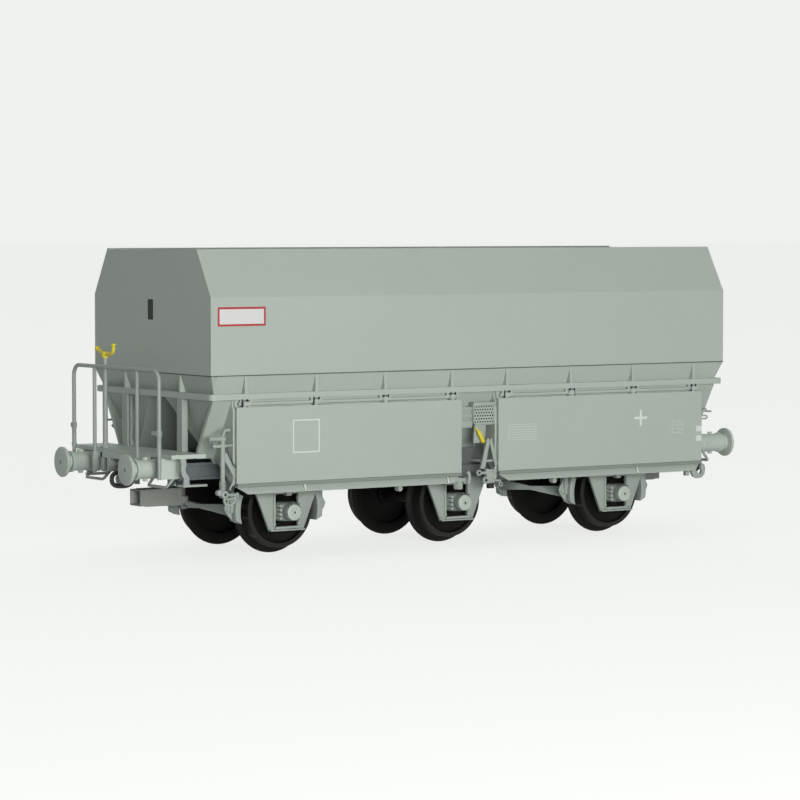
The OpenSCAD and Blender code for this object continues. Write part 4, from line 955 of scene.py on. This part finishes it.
def railShape():
    shape = Shape()
    x, y, top, c = rail["x"], rail["outer"], rail["top"] - rail["tube"], rail["corner"]
    turns = [math.pi / 2 * k / 8 for k in range(9)]
    bend = [(x, -y + c - c * math.cos(a), top - c + c * math.sin(a)) for a in turns]
    path = [(x, -y, rail["foot"])] + bend + [(x, -b, z) for _, b, z in bend[::-1]] + [(x, y, rail["foot"])]
    shape.bar(path, rail["tube"], 16)
    half, radius = rail["collar"]
    for side in (-1, 1):
        shape.bar([(x, side * rail["inner"], z) for z in (rail["foot"], top)], rail["innerTube"], 16)
        shape.lathe(rail["sleeve"], (x, side * y, rail["sleeveFoot"]), "z", 18)
        shape.drum(-half, half, radius, (x, side * y, rail["iron"]), "z", 18)
    for one, other in rail["irons"]:
        shape.box(*[(x + a, b, rail["iron"] + c) for a, b, c in (one, other)])
    return shape


pieceFrom(railShape(), "handRail", ["wire"], ["handrail"])

# footsteps: a wavy strap and a tread that narrows at both ends, as (along, height) and (along, across)
footstep = {
    "strap": [(-48.85, 14.1), (-47.9, 14.1), (-47.8, 13.2), (-48.0, 12.7), (-47.85, 12.1), (-47.4, 11.5),
              (-47.3, 10.35), (-48.3, 10.35), (-48.2, 11.2), (-48.6, 11.8), (-48.7, 12.8), (-48.6, 13.3)],
    "strapY": (-14.6, -14.27),
    "tread": [(-48.7, -13.25), (-48.4, -14.8), (-44.5, -14.8), (-44.35, -14.4), (-45.5, -13.25)],
    "treadZ": (10.02, 10.35),
}
steps = Shape().slab(footstep["strap"], "y", *footstep["strapY"]).slab(footstep["tread"], "z", *footstep["treadZ"])
pieceFrom(steps.bothSides(), "steps", ["frame"], ["footsteps"], 0.04)

# bent handles for the shunter, hung under the headstocks and leaning outwards
handle = {
    "wire": 0.22,
    "path": [(48.6, 12.2, 11.45), (48.6, 12.2, 11.15), (49.5775, 12.05, 10.05), (49.75, 11.8, 9.9), (49.75, 7.0, 9.9),
             (49.5775, 6.75, 10.05), (48.6, 6.6, 11.15), (48.6, 6.6, 11.45)],
}
handles = Shape().bar(handle["path"], handle["wire"], 12).bothSides().bothEnds()
pieceFrom(handles, "shunterHandles", ["wire"], ["shunter_handles"])

# coupling hooks on their plates, with a black link hanging down from each
coupling = {
    "x": 48.0, "z": 12.1, "hookRadius": 0.42,
    "hook": [(-0.2, 0), (1.7, 0), (2.5, 0.25), (2.95, 0.05), (2.85, -0.5), (2.35, -0.62), (2.0, -0.35)],
    "plateHalf": 0.9, "plateX": (-0.2, 0.1),
    "link": (2.28, -1.72), "linkHalf": (1.72, 1.05), "linkPower": 0.75, "linkRadius": 0.34, "linkSteps": 24,
}


def couplingShape():
    shape = Shape()
    x, z, half = coupling["x"], coupling["z"], coupling["plateHalf"]
    shape.bar([(x + a, 0, z + b) for a, b in coupling["hook"]], coupling["hookRadius"], 14)
    plate = [(-half, z - half), (half, z - half), (half, z + half), (-half, z + half)]
    shape.slab(plate, "x", *[x + a for a in coupling["plateX"]])
    link = []
    for k in range(coupling["linkSteps"] + 1):
        turn = 2 * math.pi * k / coupling["linkSteps"]
        a, b = (size * math.copysign(abs(way) ** coupling["linkPower"], way)
                for size, way in zip(coupling["linkHalf"], (math.cos(turn), math.sin(turn))))
        link.append((x + coupling["link"][0] + a, 0, z + coupling["link"][1] + b))
    return shape.bar(link, coupling["linkRadius"], 12)


pieceFrom(couplingShape().bothEnds(), "couplingLinks", ["black"], ["coupling_hooks"])

# brackets under the plank that carry the posts and the brake column
bracket = {
    "post": [(-0.35, 14.1), (0.35, 14.1), (0.35, 11.6), (0.2, 11.2), (-0.2, 11.2), (-0.35, 11.6)], "postY": 6.4,
    "postX": (-51.75, -50.6),
    "column": [
        ("slab", [(-51.0, 14.1), (-49.5, 14.1), (-49.5, 11.7), (-49.8, 11.2), (-50.6, 11.2), (-51.0, 11.7)],
         "y", 4.7, 5.3),
        ("box", (-50.75, 4.5, 11.5), (-50.45, 4.72, 14.1)), ("box", (-50.1, 4.5, 11.5), (-49.8, 4.72, 14.1)),
        ("lathe", [(0, 0), (0, 0.75), (0.25, 0.75), (0.4, 0.45), (0.9, 0.4), (0.9, 0)], (-49.8, 5.9, 14.66), "z", 20),
    ],
}
brackets = Shape()
for side in (-1, 1):
    brackets.slab([(side * bracket["postY"] + a, b) for a, b in bracket["post"]], "x", *bracket["postX"])
brackets.build(bracket["column"])
pieceFrom(brackets, "postBrackets", ["frame"], bevel=0.04)

# coupler boxes: thin walls, open mouth, neck and boss
pocket = {
    "mouth": 48.1, "back": 41.1, "half": 1.6, "foot": 6.25, "top": 8.8, "wall": 0.32, "lipStart": 1.0, "lipEnd": 0.95,
    "lipIn": 0.06, "lipFoot": 0.1, "floor": 0.8,
    "pin": 40.15, "boss": 0.85, "bore": 0.51, "neckX": (0.7, 0.2), "neckHalf": 0.9, "neckFoot": 6.45, "neckTop": 7.45,
    "rimX": (-0.02, 0.5), "rimProud": 0.05, "rimTop": 0.04,
}


def pocketShape(sign):
    shape = Shape()
    m, b, h, f, t, w = (pocket[k] for k in ("mouth", "back", "half", "foot", "top", "wall"))
    lip, lipFoot = pocket["lipIn"], pocket["lipFoot"]
    rings = [(b, h, f, t), (m - pocket["lipStart"], h, f, t), (m - pocket["lipEnd"], h - lip, f + lipFoot, t - lip),
             (m, h - lip, f + lipFoot, t - lip), (m, h - w, f + w, t - w + lip),
             (b + pocket["floor"], h - w, f + w, t - w)]
    points = []
    for x, half, low, high in rings:
        points += [(sign * x, -half, low), (sign * x, half, low), (sign * x, half, high), (sign * x, -half, high)]
    shape.skin(points, len(rings), 4)
    # the inner walls and the bottom of the pocket are lighter
    for index in (*range(4 * (len(rings) - 2), 4 * (len(rings) - 1)), len(shape.faces) - 1):
        shape.inks[index] = 1
    # neck and boss on the swing pin
    foot, top, half = pocket["neckFoot"], pocket["neckTop"], pocket["neckHalf"]
    start, end = pocket["pin"] + pocket["neckX"][0], b + pocket["neckX"][1]
    shape.box((sign * start, -half, foot), (sign * end, half, top))
    boss = [(foot, pocket["bore"]), (foot, pocket["boss"]), (top, pocket["boss"]), (top, pocket["bore"]),
            (foot, pocket["bore"])]
    return shape.ring(boss, (sign * pocket["pin"], 0, 0), "z", 32)


def rimShape(sign):
    start, end = (sign * (pocket["back"] + a) for a in pocket["rimX"])
    half, proud = pocket["half"] + pocket["rimProud"], pocket["rimProud"]
    return Shape().box((start, -half, pocket["foot"] - proud), (end, half, pocket["top"] + pocket["rimTop"]))


for end, sign in endSigns:
    body = "coupler_pocket_" + end
    pieceFrom(pocketShape(sign), "couplerBox_" + end, ["pocket", "inner"], [body], 0.0, body)
    pieceFrom(rimShape(sign), "couplerRim_" + end, ["pocket"], (), 0.08, body)
print("platform done")


# the joint where the walls meet the leaning sheets, drawn round the body as a fine dark line of painted shadow
seam = {"z": (25.82, 25.98), "in": 0.1, "proud": 0.03, "halfWidth": 17.25, "platform": -45.3, "plain": 48.4}
seams = Shape()
foot, top = seam["z"]
for side in (-1, 1):
    seams.box((seam["platform"] - seam["proud"], side * (seam["halfWidth"] - seam["in"]), foot),
              (seam["plain"] + seam["proud"], side * (seam["halfWidth"] + seam["proud"]), top))
for end, sign in endSigns:
    seams.box((seam[end] - sign * seam["in"], -seam["halfWidth"], foot),
              (seam[end] + sign * seam["proud"], seam["halfWidth"], top))
pieceFrom(seams, "wallSeams", ["joint"])

# sheet edge behind each hinge rod, and a strip of painted shade in the gap between each door and its lip:
# distances from the body's centre, across and height
strip = {
    "hingeStrips": ("body", (3.4, 42.6), (16.45, 16.62), (21.2, 22.45)),
    "doorGaps": ("strip", (3.45, 42.55), (16.9, 17.42), (9.88, 10.33)),
}
# slots of painted shade beside each hinge bracket, given on the front
slot = {"places": (-39.73, -27.58, -15.43, -3.4, 6.5, 18.75, 30.65, 42.49), "off": 0.42, "half": 0.12,
        "y": (17.24, 17.3), "z": (21.35, 22.5)}
# round pegs under the lips, with a tab up to the lip
peg = {"places": (-12.87, 15.5), "z": 8.45, "half": 0.25, "y": (16.4, 16.8), "tab": (8.4, 9.6),
       "profile": [(16.3, 0), (16.3, 0.42), (17.2, 0.42), (17.3, 0.34), (17.3, 0.2), (17.2, 0.18), (17.2, 0)]}


# the front's places along the body with their side, then the back's
def bothFaces(places):
    return [pair for x in places for pair in ((x, -1), (2 * bodyShift - x, 1))]


def stripPiece(name):
    ink, along, across, heights = strip[name]
    shape = Shape()
    for side in (-1, 1):
        for way in (-1, 1):
            shape.box(*[(bodyShift + way * x, side * y, z) for x, y, z in zip(along, across, heights)])
    pieceFrom(shape, name, [ink])


stripPiece("hingeStrips")
slots, pegs = Shape(), Shape()
for x, side in bothFaces(slot["places"]):
    for off in (-slot["off"], slot["off"]):
        slots.box((x + off - slot["half"], side * slot["y"][0], slot["z"][0]),
                  (x + off + slot["half"], side * slot["y"][1], slot["z"][1]))
for x, side in bothFaces(peg["places"]):
    pegs.lathe(peg["profile"], (x, 0, peg["z"]), "y", 20, 0, side)
    pegs.box(*[(x + a, side * b, c) for a, b, c in zip((-peg["half"], peg["half"]), peg["y"], peg["tab"])])
pieceFrom(slots, "hingeSlots", ["hole"])
stripPiece("doorGaps")
pieceFrom(pegs, "lipPegs", ["frame"])
print("seams done")


# printed marks, thin ink on the panels and all without lettering:
# framed side plate, lip ticks, square outline, plus sign, blocks and ruled tables with empty rows
mark = {
    "face": -17.25, "ink": 0.02,
    "plate": (-44.2, -36.2, 33.0, 35.75), "plateDepth": 0.05, "plateLine": 0.3,
    "ticks": (-29.7, -4.5, 31.2), "tickHalf": 0.12,
    "tick": [(-17.72, 9.0), (-17.74, 9.0), (-17.35, 9.98), (-17.3, 9.98)],
    "square": (-31.6, -27.0, 14.45, 19.3), "squareLine": 0.2,
    "plus": (32.05, 17.5), "plusArm": 1.25, "plusHalf": 0.2,
    "blockX": (43.05, 44.1), "blockZ": (13.5, 15.0), "blockHeight": 0.85,
    # left, right, foot, top and number of rows
    "tables": [(6.75, 11.9, 14.95, 17.25, 6), (38.3, 40.3, 14.95, 16.75, 3)], "tableLine": 0.05, "column": 0.62,
}


# a flat patch of ink in front of a plane that faces the front
def patch(shape, x0, x1, z0, z1, tone=0, y=mark["face"], depth=mark["ink"]):
    shape.box((x0, y - depth, z0), (x1, y, z1), tone)


def outlineMark(shape, area, line, tone=0, y=mark["face"]):
    x0, x1, z0, z1 = area
    patch(shape, x0, x1, z0, z0 + line, tone, y)
    patch(shape, x0, x1, z1 - line, z1, tone, y)
    patch(shape, x0, x0 + line, z0 + line, z1 - line, tone, y)
    patch(shape, x1 - line, x1, z0 + line, z1 - line, tone, y)


def tableMark(shape, x0, x1, z0, z1, rows):
    half = mark["tableLine"]
    for i in range(rows + 1):
        z = z0 + (z1 - z0) * i / rows
        patch(shape, x0, x1, z - half, z + half, 3)
    for x in (x0, x0 + (x1 - x0) * mark["column"], x1):
        patch(shape, x - half, x + half, z0 + half, z1 - half, 3)


def sideMarks():
    marks = Shape()
    patch(marks, *mark["plate"], 2, mark["face"], mark["plateDepth"])
    outlineMark(marks, mark["plate"], mark["plateLine"], 1, mark["face"] - mark["plateDepth"])
    for x in mark["ticks"]:
        marks.slab(mark["tick"], "x", x - mark["tickHalf"], x + mark["tickHalf"])
    return marks


def doorMarks(end):
    marks = Shape()
    if end == "platform":
        outlineMark(marks, mark["square"], mark["squareLine"])
        return marks
    arm, half, (x, z) = mark["plusArm"], mark["plusHalf"], mark["plus"]
    corners = [(arm, -half), (arm, half), (half, half), (half, arm), (-half, arm), (-half, half)]
    corners += [(-a, -b) for a, b in corners]
    marks.slab([(x + a, z + b) for a, b in corners], "y", mark["face"] - mark["ink"], mark["face"])
    for z in mark["blockZ"]:
        patch(marks, *mark["blockX"], z, z + mark["blockHeight"])
    for table in mark["tables"]:
        tableMark(marks, *table)
    return marks


markInks = ["white", "red", "plate", "faint"]
otherEnd = {"platform": "plain", "plain": "platform"}
for where, sign in faceSigns:
    pieceFrom(forSide(sideMarks(), sign), "sidePlate_" + where, markInks[:3])
    for end in otherEnd:
        door = where + "_" + (end if sign < 0 else otherEnd[end])
        marks = forSide(doorMarks(end), sign)
        pieceFrom(marks, "doorMarks_" + door, markInks, body="door_" + door)
endPlate = {"low": (-45.34, -0.54, 33.6), "high": (-45.3, 0.92, 36.6)}
pieceFrom(Shape().box(endPlate["low"], endPlate["high"]), "endPlate", ["hole"])
print("marks done")


# pale paper floor, even to the camera and shaded by the wagon, with soft light from all round
studio = {
    "floor": (0.42, 0.43, 0.42), "floorHalf": 6.0, "shadow": 0.6, "glow": 2.2,
    "sky": (0.866, 0.880, 0.862), "world": 0.165,
    # the far side is brighter: the pull of each direction, where it starts and how fast it grows
    "farSide": 1.9, "farY": 0.85, "farX": 0.6, "farStart": 0.45, "farGain": 1.8,
    "aim": (0, 0, 0.02),
}

floorMesh = bpy.data.meshes.new("floor")
reach = studio["floorHalf"]
floorMesh.from_pydata([(reach * a, reach * b, 0) for a, b in ((-1, -1), (1, -1), (1, 1), (-1, 1))], [], [(0, 1, 2, 3)])
floor = bpy.data.objects.new("floor", floorMesh)
bpy.context.scene.collection.objects.link(floor)
paper = Finish("studioPaper")
dull = paper.node("ShaderNodeBsdfDiffuse", None, {"Color": (*studio["floor"], 1)})
glow = paper.node("ShaderNodeEmission", None, {"Color": (*studio["sky"], 1), "Strength": studio["glow"]})
paperSeen = paper.blend(paper.seen() * (1.0 - studio["shadow"]), dull, glow)
# seen from below the floor gives way to the underside of the wagon
below = paper.node("ShaderNodeNewGeometry")
paper.surface(paper.blend(paper.signal(below, "Backfacing"), paperSeen, paper.node("ShaderNodeBsdfTransparent")))
floorMesh.materials.append(paper.material)

world = bpy.data.worlds.new("studioWorld")
bpy.context.scene.world = world
air = Finish("studioAir", world)
white = (1, 1, 1, 1)
dim = air.node("ShaderNodeBackground", None, {"Color": white, "Strength": studio["world"]})
bright = air.node("ShaderNodeBackground", None, {"Color": white, "Strength": studio["farSide"]})
sky = air.node("ShaderNodeBackground", None, {"Color": (*studio["sky"], 1), "Strength": 1.0})
heading = air.node("ShaderNodeSeparateXYZ", None, {0: air.signal(air.node("ShaderNodeTexCoord"), "Generated")})
pull = air.signal(heading, "Y") * studio["farY"] + air.signal(heading, "X") * studio["farX"]
farness = ((pull - studio["farStart"]) * studio["farGain"]).clamped()
air.surface(air.blend(air.seen(), air.blend(farness, dim, bright), sky))

lamps = {
    "keyLamp": {"place": (-0.135, -0.48, 0.07), "size": (0.3, 0.12), "power": 1.98},
    "endLamp": {"place": (-1.1, 0.1, 0.30), "size": (0.6, 0.6), "power": 0.1},
    "topLamp": {"place": (-0.5, 0.1, 1.0), "size": (0.8, 0.8), "power": 0.8},
}
for name, lamp in lamps.items():
    data = bpy.data.lights.new(name, "AREA")
    data.shape = "RECTANGLE"
    data.size, data.size_y = lamp["size"]
    data.energy = lamp["power"]
    made = bpy.data.objects.new(name, data)
    made.location = lamp["place"]
    made.rotation_euler = (Vector(studio["aim"]) - Vector(lamp["place"])).to_track_quat("-Z", "Y").to_euler()
    bpy.context.scene.collection.objects.link(made)

bpy.context.scene.view_settings.view_transform = "Standard"
print("studio done")
